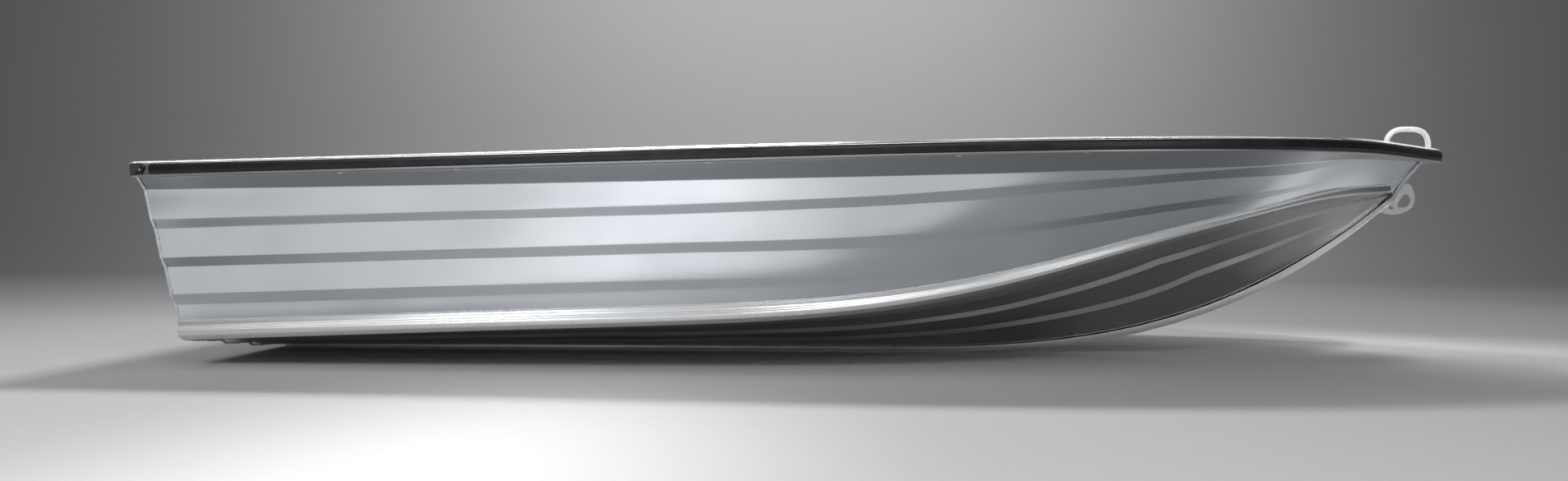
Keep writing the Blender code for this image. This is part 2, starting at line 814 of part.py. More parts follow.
PAD_TOP = TRANSOM_TOP - CAP_CHANNEL_LEG - GAP
pad = rounded(
    [(-PAD_WIDTH / 2, PAD_TOP), (-PAD_WIDTH / 2, PAD_TOP - PAD_HEIGHT),
     (PAD_WIDTH / 2, PAD_TOP - PAD_HEIGHT), (PAD_WIDTH / 2, PAD_TOP)],
    PAD_CORNER,
)
add("motor_pad_outer", raked(pad, TRANSOM_FACE - GAP - PLATE, TRANSOM_FACE - GAP), ALUMINIUM)
BOARD_BACK = TRANSOM_BACK + GAP + BOARD_THICKNESS
add("motor_board_inner", raked(pad, TRANSOM_BACK + GAP, BOARD_BACK), BOARD)


def transom_knee():
    """A flat bracket on the middle line between the motor board and the keel seam."""
    top = PAD_TOP - KNEE_DROP
    foot_x = transom_x(0) + BOARD_BACK + KNEE_LENGTH
    keel_z = KEEL_DEPTH + GAP + SHEET + KNEE_CLEARANCE
    board_foot = PAD_TOP - PAD_HEIGHT
    board_x = BOARD_BACK + GAP
    sheet_x = TRANSOM_BACK + GAP
    outline = [
        (transom_x(top) + board_x, top),
        (transom_x(board_foot) + board_x, board_foot - KNEE_CLEARANCE),
        (transom_x(board_foot) + sheet_x, board_foot - KNEE_CLEARANCE),
        (transom_x(keel_z) + sheet_x, keel_z),
        (foot_x, keel_z),
        (foot_x, keel_z + KNEE_TOE),
        (transom_x(top) + board_x + KNEE_TOE, top),
    ]
    return prism(outline, 1, -PLATE / 2, PLATE / 2)


add("transom_knee", transom_knee(), ALUMINIUM)


def drain_bung():
    """A screwed plug with a round flange and a square grip, near the foot of the transom."""
    turns = np.linspace(0, 2 * math.pi, 16, endpoint=False)
    rings = []
    for radius, reach in BUNG_PROFILE:
        y = BUNG_Y + radius * np.cos(turns)
        z = BUNG_Z + radius * np.sin(turns)
        rings.append(np.column_stack([transom_x(z) + TRANSOM_FACE - GAP - reach, y, z]))
    return loft(rings)


add("drain_bung", drain_bung(), BUNG)


def stern_handle():
    """A bent rod that stands off the transom's outer face."""
    x = transom_x(HANDLE_Z) + TRANSOM_FACE - GAP - HANDLE_RADIUS * math.tan(TRANSOM_RAKE)
    near, far = HANDLE_Y - HANDLE_SPAN / 2, HANDLE_Y + HANDLE_SPAN / 2
    path = [(x, near, HANDLE_Z), (x - HANDLE_REACH, near, HANDLE_Z)]
    path += [(x - HANDLE_REACH, far, HANDLE_Z), (x, far, HANDLE_Z)]
    return bent_tube(path, HANDLE_BEND, HANDLE_RADIUS)


add_pair("stern_handle", stern_handle(), EXTRUSION)


def corner_gusset():
    """A triangular plate in the corner of transom and gunwale, just under the rail's top."""
    inboard = gunwale_at(-GUNWALE_INBOARD - GAP, 0)
    near = transom_x(TRANSOM_TOP) + TRANSOM_BACK + GAP * 2 + CAP_CHANNEL_WALL
    far = near + GUSSET_LENGTH
    y_near = np.interp(near, inboard[:, 0], inboard[:, 1])
    y_far = np.interp(far, inboard[:, 0], inboard[:, 1])
    corners = [(near, y_near), (near, y_near - GUSSET_LENGTH), (near + GUSSET_TOE, y_near - GUSSET_LENGTH)]
    corners += [(far, y_far - GUSSET_TOE), (far, y_far)]
    rings = []
    for drop in (GUSSET_DROP + PLATE, GUSSET_DROP):
        rings.append([(x, y, sheer_z(x) + GUNWALE_TOP - drop) for x, y in corners])
    return loft(rings)


add_pair("stern_corner_gusset", corner_gusset(), ALUMINIUM)


# Bow


def deck_outline():
    """The space between the gunwales' inner legs, from the deck's aft edge to the bow."""
    inside = gunwale_at(-GUNWALE_INBOARD - GAP, 0)[:, :2]
    inside = inside[inside[:, 1] > 0.01]
    y = np.interp(DECK_AFT_X, inside[:, 0], inside[:, 1])
    port = np.concatenate([[(DECK_AFT_X, y)], inside[inside[:, 0] > DECK_AFT_X + 0.01]])
    return np.concatenate([port, port[::-1] * (1, -1)])


def bow_deck():
    outline = deck_outline()
    rings = []
    for drop in (DECK_DROP + SHEET, DECK_DROP):
        z = sheer_z(outline[:, 0]) + GUNWALE_TOP - drop
        rings.append(np.column_stack([outline, z]))
    return loft(rings)


def deck_lip():
    """The deck's aft edge turned down."""
    half = deck_outline()[0, 1] - LIP_CLEARANCE
    top = sheer_z(DECK_AFT_X) + GUNWALE_TOP - DECK_DROP - SHEET / 2
    low, in_by = top - DECK_LIP, DECK_LIP * LIP_FLARE
    outline = [(-half, top), (in_by - half, low), (half - in_by, low), (half, top)]
    return prism(outline, 0, DECK_AFT_X + 0.001, DECK_AFT_X + 0.001 + SHEET)


lip = add("deck_lip_helper", deck_lip(), ALUMINIUM)
combine(add("bow_deck_plate", bow_deck(), ALUMINIUM), [lip], "UNION")


def bow_handle():
    """A bent tube on the middle line, from the deck plate over to the gunwale's nose."""
    nose_x = SIDE[-1, -1, 0]
    fore, aft = nose_x - BOW_HANDLE_FORE, nose_x - BOW_HANDLE_FORE - BOW_HANDLE_SPAN
    fore_z = sheer_z(fore) + GUNWALE_TOP + SEAT_GAP
    aft_z = sheer_z(aft) + GUNWALE_TOP - DECK_DROP + SEAT_GAP
    top = sheer_z(nose_x) + GUNWALE_TOP + BOW_HANDLE_HEIGHT
    path = [(aft, 0, aft_z), (aft, 0, top), (fore, 0, top - BOW_HANDLE_SLOPE), (fore, 0, fore_z)]
    return bent_tube(path, BOW_HANDLE_BEND, BOW_HANDLE_RADIUS)


add("bow_handle", bow_handle(), EXTRUSION)


def eye_plate():
    """A flat plate welded on edge to the stem, with a large hole and a small one."""
    bar = np.array([(ring[4][0], ring[4][2]) for ring in KEEL_RINGS])
    bar = inset(bar, -GAP)
    places = np.linspace(*EYE_HEIGHTS, 5)
    base = np.column_stack([np.interp(places, bar[:, 1], bar[:, 0]), places])
    keep = bar[(bar[:, 1] > EYE_HEIGHTS[0] + 0.002) & (bar[:, 1] < EYE_HEIGHTS[1] - 0.002)]
    base = np.concatenate([base[:1], keep, base[-1:]])
    outline = np.concatenate([base, EYE_OUTLINE])
    return prism(outline, 1, -EYE_THICKNESS / 2, EYE_THICKNESS / 2)


def eye_hole(outline, name):
    reach = EYE_THICKNESS
    return add(name, prism(outline, 1, -reach, reach), ALUMINIUM)


turns = np.linspace(0, 2 * math.pi, 14, endpoint=False)
small = np.column_stack([np.cos(turns), np.sin(turns)]) * EYE_SMALL_RADIUS + EYE_SMALL_PLACE
large = rounded(EYE_LARGE, EYE_LARGE_ROUND, 3)
holes = [eye_hole(small, "eye_small_cutter"), eye_hole(large, "eye_large_cutter")]
combine(add("bow_eye_plate", eye_plate(), ALUMINIUM), holes, "DIFFERENCE")


# Inside: floor ribs, bench seats and rowlock blocks


def floor_rib(x):
    """A channel across the bottom, open side down, following the V and the strakes."""
    count = len(BOTTOM) - 1
    places = (x, x, x + RIB_WIDTH, x + RIB_WIDTH)
    fore, aft = x + RIB_WIDTH - SHEET, x + SHEET
    places += (fore, fore, aft, aft)
    lifts = (0, FLOOR_RIB_HEIGHT, FLOOR_RIB_HEIGHT, 0, 0)
    lifts += (FLOOR_RIB_HEIGHT - SHEET, FLOOR_RIB_HEIGHT - SHEET, 0)
    chains = []
    for place, lift in zip(places, lifts):
        chain = hull_section(place)[:count]
        chain[0, 0] = 0
        chain[:, 1] += lift + SHEET_CLEARANCE
        line = np.concatenate([chain[:0:-1] * (-1, 1), chain])
        chains.append(np.column_stack([np.full(len(line), place), line]))
    return loft(np.array(chains).transpose(1, 0, 2))


for number, x in enumerate(FLOOR_RIB_PLACES, 1):
    add(f"floor_rib_{number}", floor_rib(x), ALUMINIUM)


def bench_leg(x, top):
    chain = inset(hull_section(x + BENCH_WALL), SHEET_CLEARANCE)
    return prism(both_sides(cut_off(chain, top - BENCH_WALL / 2)), 0, x, x + BENCH_WALL)


def bench_top(aft, fore, top):
    port = []
    for x in np.linspace(aft, fore, 4):
        chain = inset(hull_section(x), SHEET_CLEARANCE)
        low = cut_off(chain, top - BENCH_WALL)[-1, 0]
        port.append((x, low - SHEET_CLEARANCE))
    port = np.array(port)
    return prism(np.concatenate([port, port[::-1] * (1, -1)]), 2, top - BENCH_WALL, top)


for name, aft, fore, top in BENCHES:
    seat = add(f"bench_{name}", bench_top(aft, fore, top), ALUMINIUM)
    legs = []
    for end, x in (("aft", aft + BENCH_NOSE), ("fore", fore - BENCH_NOSE - BENCH_WALL)):
        legs.append(add(f"bench_{name}_{end}_helper", bench_leg(x, top), ALUMINIUM))
    combine(seat, legs, "UNION")


def rowlock_block():
    """A block on the gunwale's inner leg, and the round socket that goes right through it."""
    inboard = gunwale_at(-GUNWALE_INBOARD - GAP, 0)
    ends = np.array([ROWLOCK_X - ROWLOCK_LENGTH / 2, ROWLOCK_X + ROWLOCK_LENGTH / 2])
    y = np.interp(ends, inboard[:, 0], inboard[:, 1])
    corners = [(ends[0], y[0]), (ends[0], y[0] - ROWLOCK_WIDTH), (ends[1], y[1] - ROWLOCK_WIDTH), (ends[1], y[1])]
    outline = rounded(corners, ROWLOCK_ROUND, 3)
    turns = np.linspace(0, 2 * math.pi, 20, endpoint=False)
    circle = np.column_stack([np.cos(turns), np.sin(turns)]) * ROWLOCK_BORE / 2
    circle += (ROWLOCK_X, y.mean() - ROWLOCK_WIDTH / 2)
    low, high = (sheer_z(outline[:, 0]) + GUNWALE_TOP - drop for drop in (ROWLOCK_HEIGHT, ROWLOCK_DROP))
    block = loft([np.column_stack([outline, low]), np.column_stack([outline, high])])
    return block, prism(circle, 2, low.min() - PLATE, high.max() + PLATE)


block, socket = rowlock_block()
for side, turn in (("port", 1), ("starboard", -1)):
    cutter = add(f"socket_{side}_cutter", (socket[0] * (1, turn, 1), socket[1]), CAP_GREY)
    made = add(f"rowlock_block_{side}", (block[0] * (1, turn, 1), block[1]), CAP_GREY)
    combine(made, [cutter], "DIFFERENCE")


# The origin goes to the middle of the boat, under its keel


def centre_on_origin():
    shown = [piece for piece in bpy.data.objects if not piece.hide_render]
    reach = [vertex.co.x for piece in shown for vertex in piece.data.vertices]
    middle = (min(reach) + max(reach)) / 2
    for piece in bpy.data.objects:
        for vertex in piece.data.vertices:
            vertex.co.x -= middle
        piece.data.update()


centre_on_origin()
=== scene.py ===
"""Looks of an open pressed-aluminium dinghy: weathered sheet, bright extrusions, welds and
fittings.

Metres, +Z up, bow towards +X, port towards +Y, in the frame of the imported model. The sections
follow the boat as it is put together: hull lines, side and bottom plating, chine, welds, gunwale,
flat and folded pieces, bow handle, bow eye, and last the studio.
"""

import math

import bpy
import numpy as np
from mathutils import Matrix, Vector
from mathutils.geometry import tessellate_polygon


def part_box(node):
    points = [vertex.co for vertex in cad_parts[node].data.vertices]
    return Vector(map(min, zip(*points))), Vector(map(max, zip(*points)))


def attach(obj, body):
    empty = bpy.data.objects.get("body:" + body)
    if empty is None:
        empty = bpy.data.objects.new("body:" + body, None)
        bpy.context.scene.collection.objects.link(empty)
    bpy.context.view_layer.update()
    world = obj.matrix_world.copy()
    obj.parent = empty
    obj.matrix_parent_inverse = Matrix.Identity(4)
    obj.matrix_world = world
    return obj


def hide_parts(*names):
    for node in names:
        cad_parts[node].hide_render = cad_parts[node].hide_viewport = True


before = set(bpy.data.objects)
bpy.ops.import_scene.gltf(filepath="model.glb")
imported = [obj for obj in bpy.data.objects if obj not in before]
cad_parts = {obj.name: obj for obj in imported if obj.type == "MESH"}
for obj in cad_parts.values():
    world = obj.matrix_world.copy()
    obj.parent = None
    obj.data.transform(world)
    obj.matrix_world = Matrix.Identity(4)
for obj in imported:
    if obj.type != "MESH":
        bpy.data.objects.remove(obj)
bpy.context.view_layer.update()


# Hull lines: keel, chine and sheer, the three curves that the moulds of the hull give. Each is read
# at section numbers that run from 0 at the transom to 10 at the stem.

TRANSOM_FOOT_X = -1.767
TRANSOM_RAKE = math.radians(8.2)
STEM_START = 0.10
STEM_POWER = 2.9
STEM_STEEP = 0.1248
KEEL_DEPTH = 0.012
STEM_DEPTH = 0.010
SHEER_MID_Z = 0.581
SHEER_SLOPE = 0.0305
STERN_SECTION = (-1.769, -1.7775, 0.532, 0.073, -1.8502, 0.636)

# keel x, chine x, chine y, chine z, sheer x, sheer y
SECTIONS = (
    STERN_SECTION,
    (-1.383, -1.383, 0.542, 0.089, -1.400, 0.655),
    (-0.950, -0.950, 0.556, 0.107, -0.950, 0.682),
    (-0.450, -0.450, 0.567, 0.127, -0.450, 0.715),
    (0.000, 0.000, 0.563, 0.160, 0.050, 0.738),
    (0.400, 0.400, 0.520, 0.232, 0.500, 0.726),
    (0.780, 0.750, 0.442, 0.326, 0.900, 0.658),
    (1.120, 1.050, 0.342, 0.403, 1.250, 0.530),
    (1.400, 1.340, 0.213, 0.466, 1.500, 0.332),
    (1.580, 1.550, 0.112, 0.490, 1.700, 0.139),
    (1.695, 1.690, 0.012, 0.506, 1.810, 0.000),
)
LAST = len(SECTIONS) - 1
COLUMNS = 301
S = np.linspace(0, LAST, COLUMNS)
MIDDLE_BENCH_AFT = -0.38
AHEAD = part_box("bench_middle")[0].x - MIDDLE_BENCH_AFT
GAP = 0.0003
SHEET = 0.002


def spline(values, at):
    """Natural cubic spline through values at 0, 1, 2 and so on, read at these places."""
    values = np.asarray(values, float)
    count = len(values)
    bend = np.zeros(count)
    band = np.diag(np.full(count - 2, 4.0))
    band += np.diag(np.ones(count - 3), 1) + np.diag(np.ones(count - 3), -1)
    bend[1:-1] = np.linalg.solve(band, 6 * np.diff(values, 2))
    low = np.clip(np.floor(at).astype(int), 0, count - 2)
    t = at - low
    u = 1 - t
    curve = bend[low] * (u**3 - u) + bend[low + 1] * (t**3 - t)
    return values[low] * u + values[low + 1] * t + curve / 6


def unit(vectors):
    """Vectors of length 1; a zero vector stays zero."""
    tiny = 1e-12
    return vectors / np.maximum(np.linalg.norm(vectors, axis=-1, keepdims=True), tiny)


def fade(at, start, end):
    """1 before start, 0 after end: 1 minus the smooth step 3t^2 - 2t^3 between."""
    t = np.clip((at - start) / (end - start), 0, 1)
    return 1 - t * t * (3 - 2 * t)


def keel_line():
    """Underside of the keel bar: z grows as a power of the distance past the forefoot."""
    x = spline([row[0] for row in SECTIONS], S)
    past = np.maximum(x - STEM_START, 0)
    z = STEM_STEEP * past**STEM_POWER
    slope = STEM_STEEP * STEM_POWER * past ** (STEM_POWER - 1)
    inward = unit(np.stack([-slope, 0 * slope, 1 + 0 * slope], 1))
    depth = KEEL_DEPTH + (STEM_DEPTH - KEEL_DEPTH) * np.clip(slope, 0, 1)
    return np.stack([x + AHEAD, 0 * x, z], 1), depth, inward, slope


def chine_line():
    x, y, z = (spline([row[k] for row in SECTIONS], S) for k in (1, 2, 3))
    return np.stack([x + AHEAD, y, z], 1)


def sheer_line():
    """Splined through its mirror image too, so that it rounds the bow."""
    x = [row[4] for row in SECTIONS]
    y = [row[5] for row in SECTIONS]
    x = spline(x + x[-2::-1], S)
    y = spline(y + [-value for value in y[-2::-1]], S)
    return np.stack([x + AHEAD, y, SHEER_MID_Z + SHEER_SLOPE * x], 1)


KEEL, KEEL_BAR_DEPTH, KEEL_IN, KEEL_SLOPE = keel_line()
CHINE = chine_line()
SHEER = sheer_line()


def on_transom(points):
    """The first column is cut along the transom's raked plane."""
    points = points.copy()
    points[..., 0, 0] = TRANSOM_FOOT_X + AHEAD - math.tan(TRANSOM_RAKE) * points[..., 0, 2]
    return points


def port_of_middle(points):
    points = points.copy()
    points[..., 1] = np.maximum(points[..., 1], GAP)
    return points


# Bare aluminium: sheet straight from the mill, weathered by beaches and trailers. Each finish is a
# metal whose colour, roughness and bump vary with rolling lines, blotches, scratches and fine pits;
# where a mesh asks for it, painted shade darkens the colour too.


class Wire:
    """A number in a material; arithmetic on it adds Math nodes."""

    def __init__(self, finish, socket):
        self.finish, self.socket = finish, socket

    def reckon(self, operation, one, two):
        return self.finish.node("ShaderNodeMath", {"operation": operation}, {0: one, 1: two})

    def __add__(self, other):
        return self.reckon("ADD", self, other)

    def __sub__(self, other):
        return self.reckon("SUBTRACT", self, other)

    def __rsub__(self, other):
        return self.reckon("SUBTRACT", other, self)

    def __mul__(self, other):
        return self.reckon("MULTIPLY", self, other)

    __radd__ = __add__
    __rmul__ = __mul__


class Finish:
    """A material whose nodes all come from node()."""

    def __init__(self, name):
        self.material = bpy.data.materials.new(name)
        self.material.use_nodes = True
        self.tree = self.material.node_tree
        self.tree.nodes.clear()
        self.place = self.node("ShaderNodeTexCoord", out="Object")

    def node(self, kind, settings=None, sockets=None, out=0):
        """A node with its settings made first, then its sockets set or linked; gives one output."""
        made = self.tree.nodes.new(kind)
        for name, value in (settings or {}).items():
            setattr(made, name, value)
        for key, value in (sockets or {}).items():
            socket = made.inputs[key]
            if isinstance(key, str):
                socket = next(each for each in made.inputs if each.name == key and each.enabled)
            if isinstance(value, Wire):
                self.tree.links.new(value.socket, socket)
            else:
                socket.default_value = value
        return Wire(self, made.outputs[out])

    def noise(self, scale, detail=3.0, stretch=(1, 1, 1), rough=0.5):
        """Noise from 0 to 1 whose grains are stretched by dividing each axis' frequency."""
        place = self.node("ShaderNodeMapping", {}, {"Vector": self.place, "Scale": stretch})
        values = {"Vector": place, "Scale": scale, "Detail": detail, "Roughness": rough}
        return self.node("ShaderNodeTexNoise", {}, values)

    def step(self, value, low, high):
        """0 below low, 1 above high, smooth between."""
        return self.node(
            "ShaderNodeMapRange",
            {"interpolation_type": "SMOOTHSTEP"},
            {"Value": value, "From Min": low, "From Max": high},
        )

    def blend(self, share, one, two):
        colours = {"Factor": share, "A": one, "B": two}
        return self.node("ShaderNodeMix", {"data_type": "RGBA"}, colours, 2)

    def bump(self, height, distance, strength=1.0, below=None):
        sockets = {"Height": height, "Distance": distance, "Strength": strength}
        if below:
            sockets["Normal"] = below
        return self.node("ShaderNodeBump", {}, sockets)

    def coat(self, sockets):
        """The shader, wired to the output."""
        shader = self.node("ShaderNodeBsdfPrincipled", {}, sockets)
        output = self.tree.nodes.new("ShaderNodeOutputMaterial")
        self.tree.links.new(shader.socket, output.inputs["Surface"])
        return self.material


ROLLING_GRAIN = (2.0, 60.0, 60.0)
PIT_SHADE = 0.45
PAINTED_SHADE_TONE = 0.36
METAL_RELIEF = 0.0006


def worn_metal(
    name,
    bright,
    dull,
    roughness,
    grain=ROLLING_GRAIN,
    scratches=0.5,
    rolled=0.08,
    uneven=0.2,
    bare=1.0,
):
    """Metal between a bright and a dull colour; the grain is stretched along the boat. The mesh's
    own values of painted shade darken it towards a dark grey, where the metal mirrors the shadowed
    floor under and beside the hull. Bare is 1 for clean metal and less where a pale oxide covers
    it."""
    finish = Finish(name)
    blotch = finish.step(finish.noise(3.1, 4.0), 0.35, 0.72)
    cloud = finish.noise(11.0, 5.0, rough=0.6)
    lines = finish.noise(9.0, 3.0, grain)
    long_cut = finish.step(finish.noise(3.0, 1.0, (1.6, 110.0, 110.0)), 0.74, 0.76)
    slant_cut = finish.step(finish.noise(4.0, 1.0, (70.0, 70.0, 5.0)), 0.78, 0.80)
    where = finish.step(finish.noise(2.3, 2.0), 0.52, 0.66)
    cut = (long_cut + slant_cut * 0.7) * where * scratches
    pits = finish.step(finish.noise(160.0, 1.0), 0.78, 0.84)
    tint = finish.blend(blotch * 0.6 + cloud * 0.4, (*bright, 1), (*dull, 1))
    tint = finish.blend(pits * 0.35, tint, (*[PIT_SHADE * part for part in dull], 1))
    # painted shade: the mesh's values darken the colour towards a dark grey
    painted_shade = finish.node("ShaderNodeAttribute", {"attribute_name": "painted_shade"}, out=2)
    tint = finish.blend(painted_shade, tint, (*[PAINTED_SHADE_TONE * part for part in dull], 1))
    height = lines * rolled + cloud * uneven - cut * 0.2 - pits * 0.06
    rough = roughness - 0.05 + blotch * 0.07 + lines * 0.05 + cut * 0.10 + painted_shade * 0.12
    sockets = {"Base Color": tint, "Metallic": bare, "Roughness": rough}
    sockets["Normal"] = finish.bump(height, METAL_RELIEF, 0.55)
    return finish.coat(sockets)


sheet_finish = worn_metal(
    "worn_sheet", (0.91, 0.94, 0.98), (0.79, 0.82, 0.865), 0.14, scratches=0.3, uneven=0.10
)


# Side plating: one sheet each side, with three pressed ribs and a flared top band, 2 mm thick. The
# ribs run from the transom and die out towards the bow.

CHINE_SIDE_FLANGE = 0.047
CHINE_SEAM = 0.004
GUNWALE_FOOT = 0.036
# share of the height above each rib at the stern, where it ends and at the bow; the sections
# between which it fades out
RIBS = (
    (0.745, 0.775, 0.62, 4.1, 4.9),
    (0.530, 0.600, 0.50, 6.5, 7.4),
    (0.312, 0.285, 0.30, 6.0, 7.0),
)
RIBS_STRAIGHT_TO = 3.0
RIB_HEIGHT = 0.026
RIB_STEP = 0.009
BAND_STERN = 0.070
BAND_BOW = 0.120
BAND_STEP_STERN = 0.022
BAND_STEP_BOW = 0.008
PRESS_ROUND = 0.0032
LEAST_FLAT = 0.004
FADED_RIB_DEPTH = 0.12
# painted shade on the flared band and the rib steps, for the shadowed floor they mirror
BAND_PAINTED_SHADE = 0.72
RIB_PAINTED_SHADE = 0.62
SIDE_UNEVEN = 0.0011
SIDE_SEED = 11


def soft_line(reach, knots, heights, turn):
    """Height at each reach: straight from knot to knot, every corner turned by a parabola. It is
    the first slope plus, at each knot, the change of slope times a ramp softened over the turn."""
    slopes = np.diff(heights, axis=0) / np.diff(knots, axis=0)
    value = heights[0] + slopes[0] * (reach - knots[0])
    for k in range(1, len(knots) - 1):
        past = reach - knots[k]
        near = turn[k]
        ramp = np.where(abs(past) < near, (past + near) ** 2 / (4 * near), np.maximum(past, 0))
        value = value + (slopes[k] - slopes[k - 1]) * ramp
    return value


def row_at(knot):
    """The mesh's row in the middle of a knot's turn, for the rows that spread_rows gives."""
    return 7 * knot - 2


def spread_rows(knots, turn):
    """Reaches of the mesh's rows: five round each knot, two between knots."""
    rows = [knots[0]]
    for k in range(1, len(knots) - 1):
        start = rows[-1]
        first = knots[k] - turn[k]
        rows += [start + (first - start) * share for share in (1 / 3, 2 / 3)]
        rows += [knots[k] + turn[k] * share for share in (-1, -0.5, 0, 0.5, 1)]
    start = rows[-1]
    rows += [start + (knots[-1] - start) * share for share in (1 / 3, 2 / 3, 1)]
    return np.array(rows)


def turns_at(knots, radius):
    """How far each corner's parabola reaches: at most 0.4 of the way to the next knot."""
    room = np.diff(knots, axis=0)
    turn = np.full_like(knots, radius)
    turn[1:-1] = np.minimum(radius, 0.4 * np.minimum(room[1:], room[:-1]))
    return turn


def ruled(low, high, reach, offset, trend):
    """Rows between two lines at these reaches, pushed out by the offset less a straight trend."""
    run = high - low
    length = np.linalg.norm(run, axis=1)
    along = run / length[:, None]
    normal = -unit(np.cross(np.gradient(low + high, axis=0), along))
    push = offset - trend * reach / length
    return low + along * reach[..., None] + normal * push[..., None]


def outward(rows):
    """Outward normal of a grid of rows and columns: across times along."""
    return unit(np.cross(np.gradient(rows, axis=0), np.gradient(rows, axis=1)))


WAVES = 14


def waves(places, heights, seed, size):
    """Slight unevenness of a worked sheet: a sum of sine waves of random length and direction."""
    chance = np.random.default_rng(seed)
    total = np.zeros(np.broadcast(places, heights).shape)
    for _ in range(WAVES):
        along, up = chance.uniform(4, 22), chance.uniform(-14, 14)
        phase = chance.uniform(0, 2 * math.pi)
        total += np.sin(along * places + up * heights + phase) / math.sqrt(along)
    return total * size


def side_knots():
    """Reach of each corner of the side's section above the chine, and how far it is pushed out."""
    height = np.linalg.norm(SHEER - CHINE, axis=1)
    upright = height / (SHEER - CHINE)[:, 2]
    knots = [np.full_like(height, CHINE_SEAM), np.full_like(height, CHINE_SIDE_FLANGE)]
    rise = 0 * height
    steps = [rise, rise]
    for at_stern, at_end, at_bow, start, end in RIBS:
        share = np.interp(S, [RIBS_STRAIGHT_TO, end, LAST], [at_stern, at_end, at_bow])
        top = height * (1 - share)
        depth = RIB_HEIGHT * upright * np.interp(S, [end, end + 0.8], [1, FADED_RIB_DEPTH])
        knots += [np.maximum(top - depth, knots[-1] + LEAST_FLAT), top]
        steps += [rise, rise + RIB_STEP * fade(S, start, end)]
        rise = steps[-1]
    band = np.maximum(height - BAND_STERN - (BAND_BOW - BAND_STERN) * S / LAST, top + LEAST_FLAT)
    foot = height - GUNWALE_FOOT
    press = BAND_STEP_BOW + (BAND_STEP_STERN - BAND_STEP_BOW) * fade(S, 3.5, 7.0)
    steps += [rise, rise + press, rise + press]
    knots += [band, foot, height]
    return np.array(knots), np.array(steps)


def pressed_sheet(low, high, knots, steps, across, seed, uneven):
    """Outer and inner face of a sheet between two lines, pressed out by steps at knots. The waves
    run along x and this axis across, and die out at both lines."""
    turn = turns_at(knots, PRESS_ROUND)
    reach = spread_rows(knots, turn)
    rows = ruled(low, high, reach, soft_line(reach, knots, steps, turn), steps[-1])
    calm = np.sin(math.pi * np.clip(reach / reach[-1], 0, 1))
    push = waves(rows[..., 0], rows[..., across], seed, uneven) * calm
    rows = rows + outward(rows) * push[..., None]
    inside = rows - outward(rows) * SHEET
    return port_of_middle(on_transom(rows)), port_of_middle(on_transom(inside))


def folded(outer, inside):
    """Rings up the outer face and back down the inner one, one for each column."""
    return np.concatenate([outer, inside[::-1]]).transpose(1, 0, 2)


def skin(rings, caps, start):
    """Points and outward faces of a closed shell through rings, numbered from start. Quads join
    each point to the next on its ring and to those of the next ring; the ends get one face, or a
    strip across a folded sheet, or none where the last ring joins the first."""
    count, size = rings.shape[:2]
    last = count if caps == "none" else count - 1
    ring, point = np.meshgrid(np.arange(last), np.arange(size), indexing="ij")
    ahead, beside = (ring + 1) % count, (point + 1) % size
    near, far = ring * size, ahead * size
    quads = np.stack([near + point, near + beside, far + beside, far + point], -1).reshape(-1, 4)
    points = rings.reshape(-1, 3)
    a, b, c, d = (points - points.mean(0))[quads.T]
    inside_out = (a * np.cross(b, c)).sum() + (a * np.cross(c, d)).sum() < 0
    end = (count - 1) * size
    around = np.arange(size)
    ends = np.stack([around[::-1], end + around]) if caps == "face" else np.zeros((0, size), int)
    if caps == "strip":
        low = around[: size // 2 - 1]
        strip = np.stack([low + 1, low, size - 1 - low, size - 2 - low], -1)
        strips = np.stack([strip, end + strip[:, ::-1]], 1)
        quads = np.concatenate([quads, strips.reshape(-1, 4)])
    turn = -1 if inside_out else 1
    return points, (start + quads[:, ::turn]).tolist() + (start + ends[:, ::turn]).tolist()


def placed(name, points, faces, finish, sharp):
    """An object of these points and faces, smooth but for edges sharper than this angle."""
    mesh = bpy.data.meshes.new(name)
    mesh.from_pydata(points.tolist(), [], faces)
    mesh.shade_smooth()
    mesh.set_sharp_from_angle(angle=math.radians(sharp))
    mesh.materials.append(finish)
    made = bpy.data.objects.new(name, mesh)
    bpy.context.scene.collection.objects.link(made)
    return made


def body(name, shells, finish, turn=1, caps="face", sharp=32, painted_shade=0.0):
    """One mesh of several shells, mirrored to starboard where turn is -1. The painted shade is one
    value, or one for each point of a ring, and darkens the finish."""
    points, faces, start = [], [], 0
    for rings in shells:
        shell, shell_faces = skin(np.asarray(rings) * (1, turn, 1), caps, start)
        points.append(shell)
        faces += shell_faces
        start += len(shell)
    made = placed(name, np.concatenate(points), faces, finish, sharp)
    shade_share = [np.broadcast_to(painted_shade, np.shape(rings)[:2]).ravel() for rings in shells]
    shade_layer = made.data.attributes.new("painted_shade", "FLOAT", "POINT")
    shade_layer.data.foreach_set("value", np.concatenate(shade_share))
    return made


def fit(piece, slot, *nodes):
    """Fixes the piece to the hull; it stands for these CAD nodes, which it hides. The slot is not
    used.
    """
    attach(piece, "root")
    if nodes:
        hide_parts(*nodes)
    return piece


